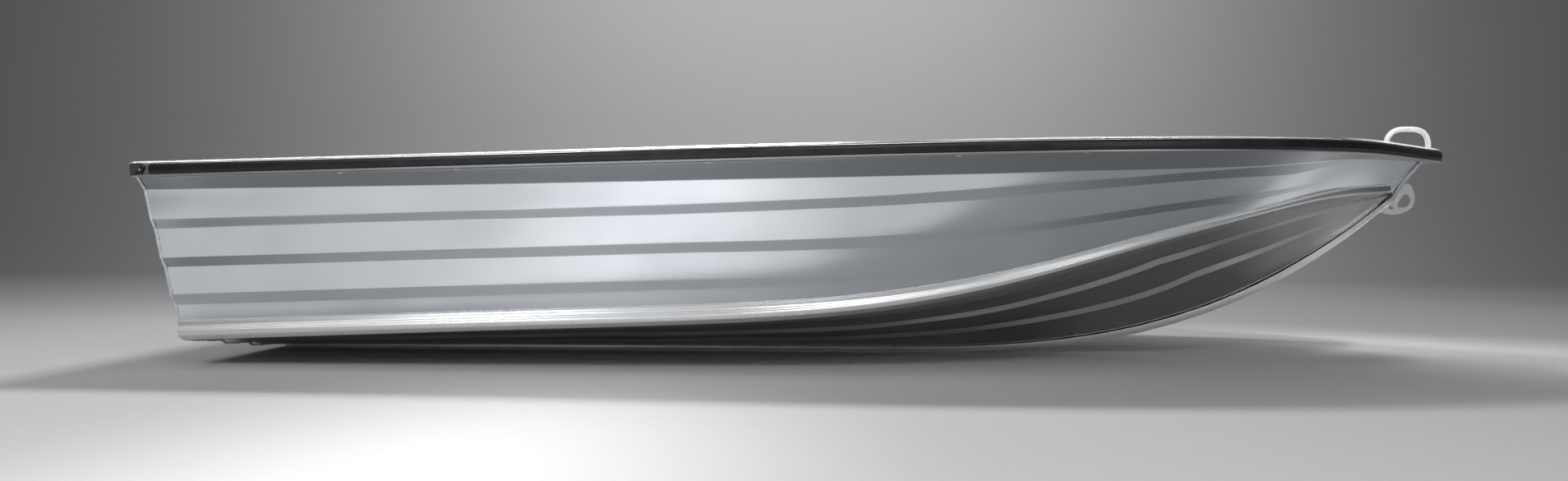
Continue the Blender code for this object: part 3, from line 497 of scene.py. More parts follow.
def bead(path, out, radius, pitch=0.0048, seed=1):
    """Rings of a weld bead on a path, bulging outwards. Its radius is 0.75 plus 0.25 |sin| of the
    way along over the pitch, and each ripple differs by chance in size and in its place."""
    path = np.asarray(path, float)
    out = np.broadcast_to(np.asarray(out, float), path.shape)
    way = np.concatenate([[0], np.cumsum(np.linalg.norm(np.diff(path, axis=0), axis=1))])
    at = np.linspace(0, way[-1], max(int(4 * way[-1] / pitch), 8))
    line = np.stack([np.interp(at, way, path[:, k]) for k in range(3)], 1)
    out = unit(np.stack([np.interp(at, way, out[:, k]) for k in range(3)], 1))
    beside = unit(np.cross(unit(np.gradient(line, axis=0)), out))
    ripple = at / pitch
    luck = np.random.default_rng(seed).normal(0, 1, (2, int(ripple[-1]) + 2))
    big, off = (np.interp(ripple, np.arange(luck.shape[1]), row) for row in luck)
    size = radius * (0.75 + 0.25 * abs(np.sin(math.pi * ripple)) + 0.11 * np.clip(big, -2, 2))
    size *= np.sqrt(np.clip(np.minimum(at, at[-1] - at) / radius, 0.05, 1))
    angle = np.arange(8) * math.pi / 4
    across = np.cos(angle) * size[:, None] + 0.2 * radius * np.clip(off, -2, 2)[:, None]
    height = 0.7 * np.sin(angle) * size[:, None]
    return line[:, None] + beside[:, None] * across[..., None] + out[:, None] * height[..., None]


def side_painted_shade(columns, count):
    """Share of painted shade at each point: the flared band is darkened, and so are both ends of
    the ribs, as painted shade of the shadowed floor they mirror.
    """
    shade_share = np.zeros((columns, count))
    ends = fade(S, 0.1, 1.3) + (1 - fade(S, 4.6, 6.0)) * fade(S, 6.9, 7.9)
    for knot in (4, 6):
        shade_share[:, row_at(knot) : row_at(knot + 1)] = RIB_PAINTED_SHADE * ends[:, None]
    shade_share[:, row_at(8) : count // 2] = np.maximum(BAND_PAINTED_SHADE, fade(S, 0, 0.8))[:, None]
    return shade_share


SIDES = (("port", 1), ("starboard", -1))
SIDE = {}
for side, turn in SIDES:
    SIDE[side], inner = pressed_sheet(
        CHINE, SHEER, *side_knots(), across=2, seed=SIDE_SEED + turn, uneven=SIDE_UNEVEN
    )
    rings = folded(SIDE[side], inner)
    shade_share = side_painted_shade(*rings.shape[:2])
    piece = body(f"side_plating_{side}", [rings], sheet_finish, turn, "strip", painted_shade=shade_share)
    fit(piece, "mill_aluminium", f"side_sheet_{side}")


# Bottom plating: one sheet each side of the keel, with two pressed strakes and a facet along the
# chine. It takes a darker finish than the sides: painted shade of the dark floor under the hull
# that it mirrors.

KEEL_HALF_WIDTH = 0.032
# each strake's distance from the middle, its most share of the width, where it fades out
STRAKES = ((0.185, 0.50, 7.0, 8.0), (0.330, 0.79, 6.4, 7.4))
STRAKE_WIDTH = 0.019
STRAKE_STEP = 0.010
FACET_WIDTH = 0.075
FACET_STEP = 0.004
CHINE_FOOT_FLANGE = 0.014
CHINE_EDGE = 0.001
# the most of the sheet's width that each of these takes, where the sheet narrows to the bow
KEEL_MOST, STRAKE_MOST, FACET_MOST, FLANGE_MOST, EDGE_MOST = 0.12, 0.06, 0.14, 0.05, 0.01
BOTTOM_UNEVEN = 0.0012
BOTTOM_SEED = 31
# painted shade on the bottom's flats, faded strakes and forward facet, for the dark floor they
# mirror
BOTTOM_PAINTED_SHADE = 0.78
FACET_PAINTED_SHADE = 0.23
FACET_PAINTED_SHADE_AHEAD = 0.90

# darker than the side sheet: painted shade of the dark floor under the hull
bottom_shaded_finish = worn_metal(
    "bottom_sheet_painted_shade", (0.86, 0.86, 0.86), (0.70, 0.70, 0.71), 0.16, scratches=0.9
)


def bottom_knots():
    """The sheet's edge on the keel bar; reach of each corner of the bottom's section from there
    out to the chine, and how far it is pushed down."""
    low = KEEL + KEEL_IN * (KEEL_BAR_DEPTH + GAP)[:, None]
    width = np.linalg.norm(CHINE - low, axis=1)
    knots = [0 * width, np.minimum(KEEL_HALF_WIDTH, KEEL_MOST * width)]
    drop = 0 * width
    steps = [drop, drop]
    for from_middle, most, start, end in STRAKES:
        share = np.minimum(from_middle / CHINE[:, 1], most)
        knots += [width * share, width * share + np.minimum(STRAKE_WIDTH, STRAKE_MOST * width)]
        steps += [drop, drop - STRAKE_STEP * fade(S, start, end)]
        drop = steps[-1]
    facet = np.minimum(FACET_WIDTH, FACET_MOST * width)
    flange = np.minimum(CHINE_FOOT_FLANGE, FLANGE_MOST * width)
    edge = np.minimum(CHINE_EDGE, EDGE_MOST * width)
    knots += [width - facet, width - flange, width - edge]
    steps += [drop, drop - FACET_STEP * (1 - flange / facet), drop - FACET_STEP]
    return low, np.array(knots), np.array(steps)


def bottom_painted_shade(count):
    """Share of painted shade at each point, for the dark floor under the hull that the bottom
    mirrors:
    the strakes and the facet aft are kept light, the facet ahead and the flats are grey, and the
    flats are greyest ahead of the middle."""
    aft = fade(S, 4.0, 5.5)[:, None]
    bow = 1 - fade(S, 7.8, 8.6)[:, None]
    shade_share = np.full((COLUMNS, count), 1 - (1 - BOTTOM_PAINTED_SHADE) * np.maximum(aft, bow))
    for knot, (_, _, start, end) in zip((2, 4), STRAKES):
        dull = BOTTOM_PAINTED_SHADE * (1 - fade(S, start, end))
        shade_share[:, row_at(knot) : row_at(knot + 1) + 1] = dull[:, None]
    shade_share[:, row_at(6) :] = FACET_PAINTED_SHADE_AHEAD + (FACET_PAINTED_SHADE - FACET_PAINTED_SHADE_AHEAD) * aft
    return np.concatenate([shade_share, shade_share[:, ::-1]], axis=1)


BOTTOM = {}
BOTTOM_EDGE, *BOTTOM_PRESSED = bottom_knots()
for side, turn in SIDES:
    BOTTOM[side], inner = pressed_sheet(
        BOTTOM_EDGE, CHINE, *BOTTOM_PRESSED, across=1, seed=BOTTOM_SEED + turn, uneven=BOTTOM_UNEVEN
    )
    rings = folded(BOTTOM[side], inner)
    shade_share = bottom_painted_shade(len(BOTTOM[side]))
    piece = body(f"bottom_plating_{side}", [rings], bottom_shaded_finish, turn, "strip", painted_shade=shade_share)
    fit(piece, "mill_aluminium", f"bottom_sheet_{side}")


# Chine extrusion: a bright angle over the seam of side and bottom, with a grooved spray rail whose
# lip turns the water down. A rough bead of weld runs along its upper edge.

CHINE_WALL = 0.0025
RAIL_REACH = 0.018
RAIL_LIP_LOW = 0.009
RAIL_LIP_HIGH = 0.020
RAIL_LEDGE = 0.036
RAIL_LEDGE_REACH = 0.007
RAIL_STOP = 9.47
# share of the rail's upper face where each groove's edge and floor begin and end
RAIL_GROOVES = ((0.22, 0.27, 0.36, 0.41), (0.62, 0.67, 0.76, 0.81))
RAIL_GROOVE_DEPTH = 0.0012
# how far sinking square to the upper face goes in and down
RAIL_SINK_IN, RAIL_SINK_DOWN = 0.82, 0.57
RAIL_UNDERSIDE_ROWS = 9
CHINE_WELD = 0.0036
RAIL_END_WELD = 0.0022
DIE_GRAIN = (1.2, 90.0, 90.0)

rail_finish = worn_metal(
    "bright_rail",
    (0.97, 0.975, 0.98),
    (0.91, 0.915, 0.92),
    0.30,
    grain=DIE_GRAIN,
    scratches=0.3,
    rolled=0.02,
    uneven=0.03,
    bare=0.55,
)
weld_finish = worn_metal(
    "weld_metal", (0.93, 0.93, 0.93), (0.66, 0.67, 0.68), 0.40, scratches=0, bare=0.3
)


def eased(lines, radii, steps=3):
    """A closed ring of lines with each corner turned by a parabola: points (1-t)^2 A + 2t(1-t) C +
    t^2 B between a point A before the corner C and a point B after it."""
    lines = np.asarray(lines)
    before, after = np.roll(lines, 1, 0), np.roll(lines, -1, 0)
    rows = []
    for corner, back, ahead, radius in zip(lines, before, after, radii):
        if radius == 0:
            rows.append(corner)
            continue
        one, two = back - corner, ahead - corner
        size_one = np.linalg.norm(one, axis=1, keepdims=True)
        size_two = np.linalg.norm(two, axis=1, keepdims=True)
        start = corner + one / size_one * np.minimum(radius, 0.45 * size_one)
        end = corner + two / size_two * np.minimum(radius, 0.45 * size_two)
        for t in np.linspace(0, 1, steps + 1):
            rows.append((1 - t) ** 2 * start + 2 * t * (1 - t) * corner + t * t * end)
    return np.array(rows)


def chine_rings():
    """Rings of the extrusion, its weld beads, and the share of painted shade at the rings' points:
    the rail's underside is darkened, more so forward, and the whole rail towards the stem."""
    side, bottom = SIDE["port"], BOTTOM["port"]
    out, down = outward(side), outward(bottom)
    flange_row, low_row = row_at(1), row_at(7)
    level = np.gradient(CHINE, axis=0)
    level = unit(np.stack([-level[:, 1], level[:, 0], 0 * level[:, 0]], 1))
    up = (side[flange_row] - CHINE) / CHINE_SIDE_FLANGE
    mitre = (out[0] + down[-1]) / (1 + (out[0] * down[-1]).sum(1))[:, None]

    def rail(reach, height):
        return CHINE + level * reach + up * height

    def sloped(share, sunk):
        """A point on the rail's upper face, sunk square to it."""
        reach = RAIL_LEDGE_REACH + (RAIL_REACH - RAIL_LEDGE_REACH) * share
        height = RAIL_LEDGE + (RAIL_LIP_HIGH - RAIL_LEDGE) * share
        return rail(reach - sunk * RAIL_SINK_IN, height - sunk * RAIL_SINK_DOWN)

    grooves = [
        sloped(share, sunk)
        for groove in RAIL_GROOVES
        for share, sunk in zip(groove, (0, RAIL_GROOVE_DEPTH, RAIL_GROOVE_DEPTH, 0))
    ]
    flange, foot = side[flange_row], bottom[low_row]
    lines = [
        foot + down[low_row] * GAP,
        bottom[-1] + down[-1] * GAP,
        CHINE + mitre * GAP,
        side[0] + out[0] * GAP,
        flange + out[flange_row] * GAP,
        flange + out[flange_row] * CHINE_WALL,
        rail(RAIL_LEDGE_REACH, RAIL_LEDGE),
        *grooves,
        rail(RAIL_REACH, RAIL_LIP_HIGH),
        rail(RAIL_REACH, RAIL_LIP_LOW),
        CHINE + mitre * CHINE_WALL,
        foot + down[low_row] * CHINE_WALL,
    ]
    radii = [0, 0, 0, 0, 0, 0.001, 0.004] + [0] * len(grooves) + [0.004, 0.0028, 0.002, 0.001]
    lines = on_transom(eased(lines, radii))
    top = on_transom(flange + out[flange_row] * CHINE_WALL * 0.4)
    kept = S <= RAIL_STOP
    end = lines[3:-6, kept][:, -1]
    welds = [
        bead(top[kept], out[flange_row][kept], CHINE_WELD, seed=5),
        bead(end, (0.8, 0.5, 0.1), RAIL_END_WELD, seed=6),
    ]
    # painted shade: the whole rail towards the stem, and its underside ahead of the stern
    painted_shade = np.tile(np.interp(S[kept], (7, 9), (0, 0.8))[:, None], (1, len(lines)))
    painted_shade[:, -RAIL_UNDERSIDE_ROWS:] = np.interp(S[kept], (1, 5), (0, 1))[:, None]
    return lines[:, kept].transpose(1, 0, 2), welds, painted_shade


CHINE_RINGS, CHINE_WELDS, CHINE_PAINTED_SHADE = chine_rings()
for side, turn in SIDES:
    piece = body(f"chine_rail_{side}", [CHINE_RINGS], rail_finish, turn, painted_shade=CHINE_PAINTED_SHADE)
    fit(piece, "extruded_aluminium", f"chine_extrusion_{side}")
    piece = body(f"chine_weld_{side}", CHINE_WELDS, weld_finish, turn, sharp=60)
    fit(piece, "extruded_aluminium")


# Welds of the shell: along the transom's edge, beside the keel and stem bars, and short tacks that
# hold the sides up under the gunwale.

STEM_HALF_WIDTH = 0.011
TRANSOM_WELD = 0.0054
TRANSOM_WELD_PITCH = 0.0075
KEEL_WELD = 0.0022
KEEL_WELD_COLUMNS = COLUMNS - 12
TACK = 0.0018
TACK_LENGTH = 0.014
TACK_FROM, TACK_TO, TACK_SPACING = -1.62, 1.45, 0.31


def shell_welds(side):
    """Beads along the first column of side and bottom, along the line where the bottom is as far
    out as the keel bar's edge, and on short runs of the row under the gunwale."""
    plating, under = SIDE[side], BOTTOM[side]
    aft = np.array([-1.0, 0, 0])
    welds = [
        bead(edge, out + aft, TRANSOM_WELD, TRANSOM_WELD_PITCH, seed)
        for edge, out, seed in (
            (plating[:, 0], outward(plating)[:, 0], 21),
            (under[4:, 0], outward(under)[4:, 0], 22),
        )
    ]
    half = KEEL_HALF_WIDTH + (STEM_HALF_WIDTH - KEEL_HALF_WIDTH) * np.clip(KEEL_SLOPE, 0, 1)
    columns = np.arange(KEEL_WELD_COLUMNS)
    past = (under[:, columns, 1] > half[columns]).argmax(0)
    near, far = under[past - 1, columns], under[past, columns]
    share = (half[columns] - near[:, 1]) / (far - near)[:, 1]
    seam = near + (far - near) * share[:, None]
    welds.append(bead(seam, outward(under)[3, columns], KEEL_WELD, seed=23))
    foot_row = row_at(9) - 1
    foot, out = plating[foot_row], outward(plating)[foot_row]
    for x in np.arange(TACK_FROM, TACK_TO, TACK_SPACING):
        run = abs(foot[:, 0] - x) < TACK_LENGTH
        welds.append(bead(foot[run], out[run], TACK, seed=int(100 + 10 * x)))
    return welds


for side, turn in SIDES:
    piece = body(f"shell_welds_{side}", shell_welds(side), weld_finish, turn, sharp=60)
    fit(piece, "mill_aluminium")


# Gunwale: a bright extruded channel over the top edge of each side, meeting at the bow, with a
# black rubber strip pressed into its groove and a dark plastic end cap screwed on at the stern.

GUNWALE_REACH = 0.024
GUNWALE_TOP = 0.0045
GUNWALE_INBOARD = 0.026
GUNWALE_WALL = 0.0025
GUNWALE_LEG = 0.010
EDGE_CLEAR = 0.0008
GROOVE_TOP = -0.005
GROOVE_FOOT = -0.0295
GROOVE_DEPTH = 0.004
# the bright shoulder's corners: how far in, height over the side's edge, how far eased
SHOULDER = (
    (0.0115, GUNWALE_TOP, 0.003),
    (0.0012, GUNWALE_TOP - 0.0062, 0.0020),
    (0, GROOVE_TOP + 0.0010, 0.001),
)
# rows of the lower lip, which faces down and out, and the painted shade that darkens them
LIP_ROWS = slice(26, 35)
LIP_PAINTED_SHADE = 0.8
STRIP_CROWN = 0.0029
STRIP_SHOULDER_IN, STRIP_SHOULDER_DOWN = 0.0006, 0.0045
STRIP_CROWN_UP = 0.010
STRIP_HEEL_IN, STRIP_HEEL_UP = 0.0010, 0.0018
STRIP_LAP_IN, STRIP_LAP_UP = 0.001, 0.0012
NOSE_LENGTH = 0.010
CAP_WALL = 0.003
CAP_LENGTH = 0.036
CAP_LAP = 0.0015
# share of the cap's length: its start, where it stops being straight, its end
CAP_STATIONS = (0.08, 0.9, 1)

extrusion_finish = worn_metal(
    "bright_extrusion",
    (0.95, 0.96, 0.97),
    (0.87, 0.88, 0.89),
    0.28,
    grain=DIE_GRAIN,
    scratches=0.15,
    rolled=0.02,
    uneven=0.03,
)


def outboard_of_sheer():
    """Level direction out of the sheer line; straight ahead at the very bow."""
    run = np.gradient(SHEER, axis=0)
    out = unit(np.stack([-run[:, 1], run[:, 0], 0 * run[:, 0]], 1))
    out[-1] = (1, 0, 0)
    return out


OUTBOARD = outboard_of_sheer()


def gunwale_at(reach, height):
    """A line along the boat, this far outboard of the side's top edge and above it."""
    return SHEER + OUTBOARD * reach + np.array([0, 0, height])


def gunwale_profile(corners):
    """Rings through a profile's corners, each a line along the boat and how far it is eased."""
    lines, radii = zip(*corners)
    return port_of_middle(on_transom(eased(lines, radii))).transpose(1, 0, 2)


def gunwale_rings():
    """Rings of the channel, and the painted shade at their points, which darkens its lower lip."""
    side = SIDE["port"]
    foot_row = row_at(9)
    foot = side[foot_row] + outward(side)[foot_row] * GAP
    up = (side[-1] - side[foot_row]) * GUNWALE_WALL / GUNWALE_FOOT
    deep = GUNWALE_REACH - GROOVE_DEPTH
    inside, leg = deep - GUNWALE_WALL, GUNWALE_INBOARD - GUNWALE_WALL
    shoulder = [
        (gunwale_at(GUNWALE_REACH - inset, height), ease) for inset, height, ease in SHOULDER
    ]
    rings = gunwale_profile([
        (gunwale_at(-GUNWALE_INBOARD, -GUNWALE_LEG), 0.001),
        (gunwale_at(-GUNWALE_INBOARD, GUNWALE_TOP), 0.0035),
        *shoulder,
        (gunwale_at(GUNWALE_REACH, GROOVE_TOP), 0.0005),
        (gunwale_at(deep, GROOVE_TOP), 0),
        (gunwale_at(deep, GROOVE_FOOT), 0),
        (gunwale_at(GUNWALE_REACH, GROOVE_FOOT), 0.0012),
        (gunwale_at(GUNWALE_REACH, -GUNWALE_FOOT), 0.004),
        (foot, 0),
        (foot + up, 0),
        (gunwale_at(inside, GUNWALE_WALL - GUNWALE_FOOT), 0.001),
        (gunwale_at(inside, EDGE_CLEAR), 0.001),
        (gunwale_at(-leg, EDGE_CLEAR), 0.001),
        (gunwale_at(-leg, -GUNWALE_LEG), 0.0005),
    ])
    dull = np.zeros(rings.shape[1])
    dull[LIP_ROWS] = LIP_PAINTED_SHADE
    return rings, dull


def strip_rings():
    """Rings of the strip: flat in the groove, crowned outside it, with a small lap at its foot."""
    back = GUNWALE_REACH - GROOVE_DEPTH + GAP
    low, high = GROOVE_FOOT + GAP, GROOVE_TOP - GAP
    crown, lap = GUNWALE_REACH + STRIP_CROWN, GUNWALE_REACH - STRIP_LAP_IN
    return gunwale_profile([
        (gunwale_at(back, low), 0),
        (gunwale_at(back, high), 0),
        (gunwale_at(GUNWALE_REACH, high), 0.001),
        (gunwale_at(crown - STRIP_SHOULDER_IN, high - STRIP_SHOULDER_DOWN), 0.006),
        (gunwale_at(crown, low + STRIP_CROWN_UP), 0.008),
        (gunwale_at(crown - STRIP_HEEL_IN, low + STRIP_HEEL_UP), 0.003),
        (gunwale_at(lap, low + STRIP_LAP_UP), 0.0005),
        (gunwale_at(lap, low), 0),
    ])


def end_cap_rings():
    """A profile that fills the groove and covers the face below and above it, set straight out
    from the first ring; the gunwale's own end shows past it as a bright edge."""
    back, face = GUNWALE_REACH - GROOVE_DEPTH + GAP, GUNWALE_REACH + GAP
    crown = GUNWALE_REACH + CAP_WALL
    low, high = GROOVE_FOOT + GAP, GROOVE_TOP - GAP
    cap_low, cap_high = CAP_LAP - GUNWALE_FOOT, GROOVE_TOP + CAP_LAP
    rings = gunwale_profile([
        (gunwale_at(back, low), 0),
        (gunwale_at(back, high), 0),
        (gunwale_at(face, high), 0),
        (gunwale_at(face, cap_high), 0.0005),
        (gunwale_at(crown, cap_high), 0.003),
        (gunwale_at(crown, cap_low), 0.003),
        (gunwale_at(face, cap_low), 0.0005),
        (gunwale_at(face, low), 0),
    ])
    reach = CAP_LENGTH / (rings[1] - rings[0])[3, 0]
    return np.stack([rings[0] + (rings[1] - rings[0]) * reach * share for share in CAP_STATIONS])


GUNWALE_RINGS, GUNWALE_PAINTED_SHADE = gunwale_rings()
STRIP_RINGS = strip_rings()
END_CAP_RINGS = end_cap_rings()
STRIP_FROM = END_CAP_RINGS[-1, :, 0].max() + GAP
STRIP_RINGS = STRIP_RINGS[STRIP_RINGS[:, 0, 0] > STRIP_FROM]
NOSE_RINGS = STRIP_RINGS[STRIP_RINGS[:, 3, 0] > STRIP_RINGS[:, 3, 0].max() - NOSE_LENGTH]
STRIP_RINGS = STRIP_RINGS[: 1 - len(NOSE_RINGS)]


def plain_finish(name, colour, pale, roughness):
    """Rubber or plastic: a dark colour with paler dust and scuffs in its grain."""
    finish = Finish(name)
    dust = finish.step(finish.noise(14.0, 5.0, rough=0.65), 0.45, 0.75)
    fine = finish.noise(360.0, 3.0)
    scuff = finish.step(finish.noise(7.0, 3.0, (1.0, 40.0, 40.0)), 0.60, 0.70)
    tint = finish.blend(dust * 0.5 + scuff * 0.35, (*colour, 1), (*pale, 1))
    sockets = {"Base Color": tint, "Roughness": roughness - 0.06 + dust * 0.14 + fine * 0.05}
    sockets["Normal"] = finish.bump(fine, 0.0003, 0.4)
    return finish.coat(sockets)


strip_finish = plain_finish(
    "black_rubber_strip", (0.012, 0.012, 0.013), (0.036, 0.037, 0.039), 0.38
)
cap_finish = plain_finish("dark_grey_plastic", (0.070, 0.070, 0.074), (0.13, 0.13, 0.135), 0.46)
for side, turn in SIDES:
    piece = body(
        f"gunwale_rail_{side}", [GUNWALE_RINGS], extrusion_finish, turn, painted_shade=GUNWALE_PAINTED_SHADE
    )
    fit(piece, "extruded_aluminium", f"gunwale_extrusion_{side}")
    piece = body(f"bow_nose_{side}", [NOSE_RINGS], extrusion_finish, turn)
    fit(piece, "extruded_aluminium")
    piece = body(f"rubber_strip_{side}", [STRIP_RINGS], strip_finish, turn)
    fit(piece, "black_insert", f"gunwale_insert_{side}")
    piece = body(f"stern_end_cap_{side}", [END_CAP_RINGS], cap_finish, turn)
    fit(piece, "grey_cap", f"gunwale_end_cap_{side}")


# The screw of each end cap: a pan head in a rimmed recess with three rounded corners, its shade
# painted black.

SCREW_AFT = 0.004
SCREW_RADIUS = 0.0042
RECESS = 0.0105
# each ring's share of the recess's or the head's radius, and how far it stands off the cap
RECESS_PROFILE = ((1, -0.001), (1, 0.00035), (0.9, 0.0004))
RIM_PROFILE = ((1, -0.001), (1.16, -0.001), (1.12, 0.0009), (1.03, 0.0009))
HEAD_PROFILE = (
    (1, -0.001), (1, 0.0006), (0.86, 0.0013), (0.6, 0.0018), (0.3, 0.002), (0.28, 0.0009),
    (0.05, 0.0009),
)

# steel darkened as painted shade, for a screw that sits in the shade of its recess
shaded_screw_finish = worn_metal("screw_steel_painted_shade", (0.42, 0.42, 0.43), (0.24, 0.24, 0.25), 0.30, scratches=0)


def cap_details():
    """Recess plate and its rim, both r = 0.8 + 0.2 cos(3a - 90 deg) of the recess's size; and the
    screw's round head, a dome with a socket in its middle."""
    face = END_CAP_RINGS[:, END_CAP_RINGS[0, :, 1].argmax()]
    low, high = END_CAP_RINGS[..., 2].min(), END_CAP_RINGS[..., 2].max()
    centre = np.array([face[1:, 0].mean() - SCREW_AFT, face[:2, 1].mean(), (low + high) / 2])
    along = unit(face[1] - face[0])
    out = np.array([-along[1], along[0], 0])
    up = np.array([0, 0, 1.0])
    angle = np.linspace(0, 2 * math.pi, 36, endpoint=False)

    def disc(radius, height):
        turned = along * np.cos(angle)[:, None] + up * np.sin(angle)[:, None]
        return centre + turned * np.broadcast_to(radius, angle.shape)[:, None] + out * height

    shape = RECESS * (0.8 + 0.2 * np.cos(3 * angle - math.pi / 2))
    return [
        np.array([disc(radius * share, height) for share, height in profile])
        for radius, profile in (
            (shape, RECESS_PROFILE),
            (shape, RIM_PROFILE),
            (SCREW_RADIUS, HEAD_PROFILE),
        )
    ]


RECESS_SHADE_RINGS, RIM_RINGS, SCREW_RINGS = cap_details()
for side, turn in SIDES:
    # a black plate in the recess: painted shade
    piece = body(f"cap_recess_shade_{side}", [RECESS_SHADE_RINGS], strip_finish, turn)
    fit(piece, "black_insert")
    piece = body(f"cap_rim_{side}", [RIM_RINGS], cap_finish, turn, "none")
    fit(piece, "grey_cap")
    piece = body(f"cap_screw_{side}", [SCREW_RINGS], shaded_screw_finish, turn)
    fit(piece, "extruded_aluminium")


# Flat plates and folded pieces: the transom, its cap, pads and knee, gussets, deck, benches, floor
# ribs, blocks, stern handles, keel and stem. Each is its CAD solid with its edges broken.

board_finish = plain_finish("grey_board", (0.20, 0.21, 0.22), (0.30, 0.31, 0.32), 0.55)
bung_finish = plain_finish("black_plastic", (0.02, 0.02, 0.022), (0.06, 0.06, 0.065), 0.42)
inside_finish = worn_metal("inside_sheet", (0.64, 0.66, 0.68), (0.50, 0.52, 0.54), 0.38)

# node, finish, slot, how far its edges are broken
PLATES = [
    ("transom_sheet", sheet_finish, "mill_aluminium", 0.0004),
    ("transom_cap", extrusion_finish, "extruded_aluminium", 0.0008),
    ("motor_pad_outer", sheet_finish, "mill_aluminium", 0.0008),
    ("motor_board_inner", board_finish, "motor_board", 0.002),
    ("transom_knee", inside_finish, "mill_aluminium", 0.0006),
    ("drain_bung", bung_finish, "bung_plastic", 0.0008),
    ("bow_deck_plate", sheet_finish, "mill_aluminium", 0.0005),
    ("keel_extrusion", extrusion_finish, "extruded_aluminium", 0.0012),
    ("stem_extrusion", extrusion_finish, "extruded_aluminium", 0.0024),
]
PLATES += [
    (f"bench_{place}", inside_finish, "mill_aluminium", 0.0012)
    for place in ("stern", "middle", "bow")
]
PLATES += [(f"floor_rib_{i}", inside_finish, "mill_aluminium", 0.0006) for i in range(1, 6)]
for side, _ in SIDES:
    PLATES += [
        (f"stern_handle_{side}", extrusion_finish, "extruded_aluminium", 0),
        (f"stern_corner_gusset_{side}", sheet_finish, "mill_aluminium", 0.0006),
        (f"rowlock_block_{side}", cap_finish, "grey_cap", 0.0012),
    ]


MERGE_WITHIN = 2e-6


def break_edges(piece, width, angle):
    """A bevel of two steps on every edge sharper than this angle."""
    bevel = piece.modifiers.new("broken edges", "BEVEL")
    bevel.width = width
    bevel.segments = 2
    bevel.limit_method = "ANGLE"
    bevel.angle_limit = math.radians(angle)


def dressed(node, finish, slot, edge):
    """A copy of the CAD solid with its points merged and its edges rounded by a bevel."""
    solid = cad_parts[node].data
    points = np.empty(len(solid.vertices) * 3, np.float32)
    solid.vertices.foreach_get("co", points)
    points = points.reshape(-1, 3)
    corners = np.empty(len(solid.loops), np.int32)
    solid.loops.foreach_get("vertex_index", corners)
    cells = np.round(points / MERGE_WITHIN).astype(np.int64)
    _, first, index = np.unique(cells, axis=0, return_index=True, return_inverse=True)
    faces = index.reshape(-1)[corners].reshape(-1, 3)
    whole = (faces != np.roll(faces, 1, axis=1)).all(1)
    piece = placed(node + "_dressed", points[first], faces[whole].tolist(), finish, 28)
    if edge:
        break_edges(piece, edge, 35)
    return fit(piece, slot, node)


for plate in PLATES:
    dressed(*plate)


# Bow handle: a round bar bent into one broad arch, its feet on the deck plate.

HANDLE_MIDDLE = 1.741 + AHEAD
HANDLE_HALF = 0.0667
HANDLE_FOOT = 0.636
HANDLE_RISE = 0.0700
HANDLE_BAR = 0.0082
HANDLE_POWER_AFT, HANDLE_POWER_AHEAD = 0.72, 0.56
HANDLE_FALL = 0.05

satin_finish = worn_metal(
    "satin_bar", (0.93, 0.93, 0.94), (0.86, 0.87, 0.88), 0.42, scratches=0, uneven=0.05, bare=0.15
)


def handle_rings():
    """Rings on two quarters of a superellipse: x = middle + half c, z = foot + rise sin^p t, with
    c = cos^p t and its own power p aft and ahead. Ahead z also falls by a share times c^2."""
    turn = np.linspace(math.pi, 0, 73)
    power = np.where(turn > math.pi / 2, HANDLE_POWER_AFT, HANDLE_POWER_AHEAD)
    along = np.sign(np.cos(turn)) * abs(np.cos(turn)) ** power
    height = np.sin(turn).clip(0) ** power * (1 - HANDLE_FALL * along.clip(0) ** 2)
    x, z = HANDLE_MIDDLE + HANDLE_HALF * along, HANDLE_FOOT + HANDLE_RISE * height
    path = np.stack([x, 0 * turn, z], 1)
    run = unit(np.gradient(path, axis=0))
    run[0], run[-1] = (0, 0, 1), (0, 0, -1)
    side, up = np.array([0, 1.0, 0]), np.cross(run, (0, 1.0, 0))
    angle = np.linspace(0, 2 * math.pi, 25)[:-1, None]
    return path[:, None] + HANDLE_BAR * (side * np.cos(angle) + up[:, None] * np.sin(angle))


piece = body("bow_handle_bar", [handle_rings()], satin_finish)
fit(piece, "extruded_aluminium", "bow_handle")


# Bow eye plate: a flat plate welded on edge under the stem bar, with a large hole and a small one.

EYE_HALF = 0.003
EYE_FOOT, EYE_HEAD = 0.446, 0.543
# x, z of the outline from head to foot, the corners of the large hole, and the small hole's middle
EYE_OUTLINE = (
    (1.752, 0.533), (1.759, 0.520), (1.765, 0.501), (1.765, 0.481), (1.757, 0.463), (1.742, 0.450),
    (1.722, 0.442), (1.700, 0.4385), (1.681, 0.4405), (1.667, 0.4445),
)
EYE_LARGE = (
    (1.7125, 0.4615), (1.7110, 0.4730), (1.7330, 0.5050), (1.7490, 0.5020), (1.7540, 0.4800),
    (1.7400, 0.4615),
)
EYE_SMALL = (1.6915, 0.4605)
EYE_SMALL_RADIUS = 0.0068
EYE_EDGE = 0.0009
EYE_WELD = 0.0042
EYE_WELD_OUT = 0.0005

plate_finish = worn_metal("oxidised_plate", (0.74, 0.74, 0.75), (0.56, 0.57, 0.58), 0.42, bare=0.5)


def round_loop(corners, share=0.36, steps=6):
    """A closed curve that turns every corner by a parabola over this share of both its sides."""
    corners = np.asarray(corners, float)
    t = np.linspace(0, 1, steps)[:, None]
    starts = corners + share * (np.roll(corners, 1, 0) - corners)
    ends = corners + share * (np.roll(corners, -1, 0) - corners)
    curves = [
        (1 - t) ** 2 * one + 2 * t * (1 - t) * corner + t * t * two
        for one, corner, two in zip(starts, corners, ends)
    ]
    return np.concatenate(curves)


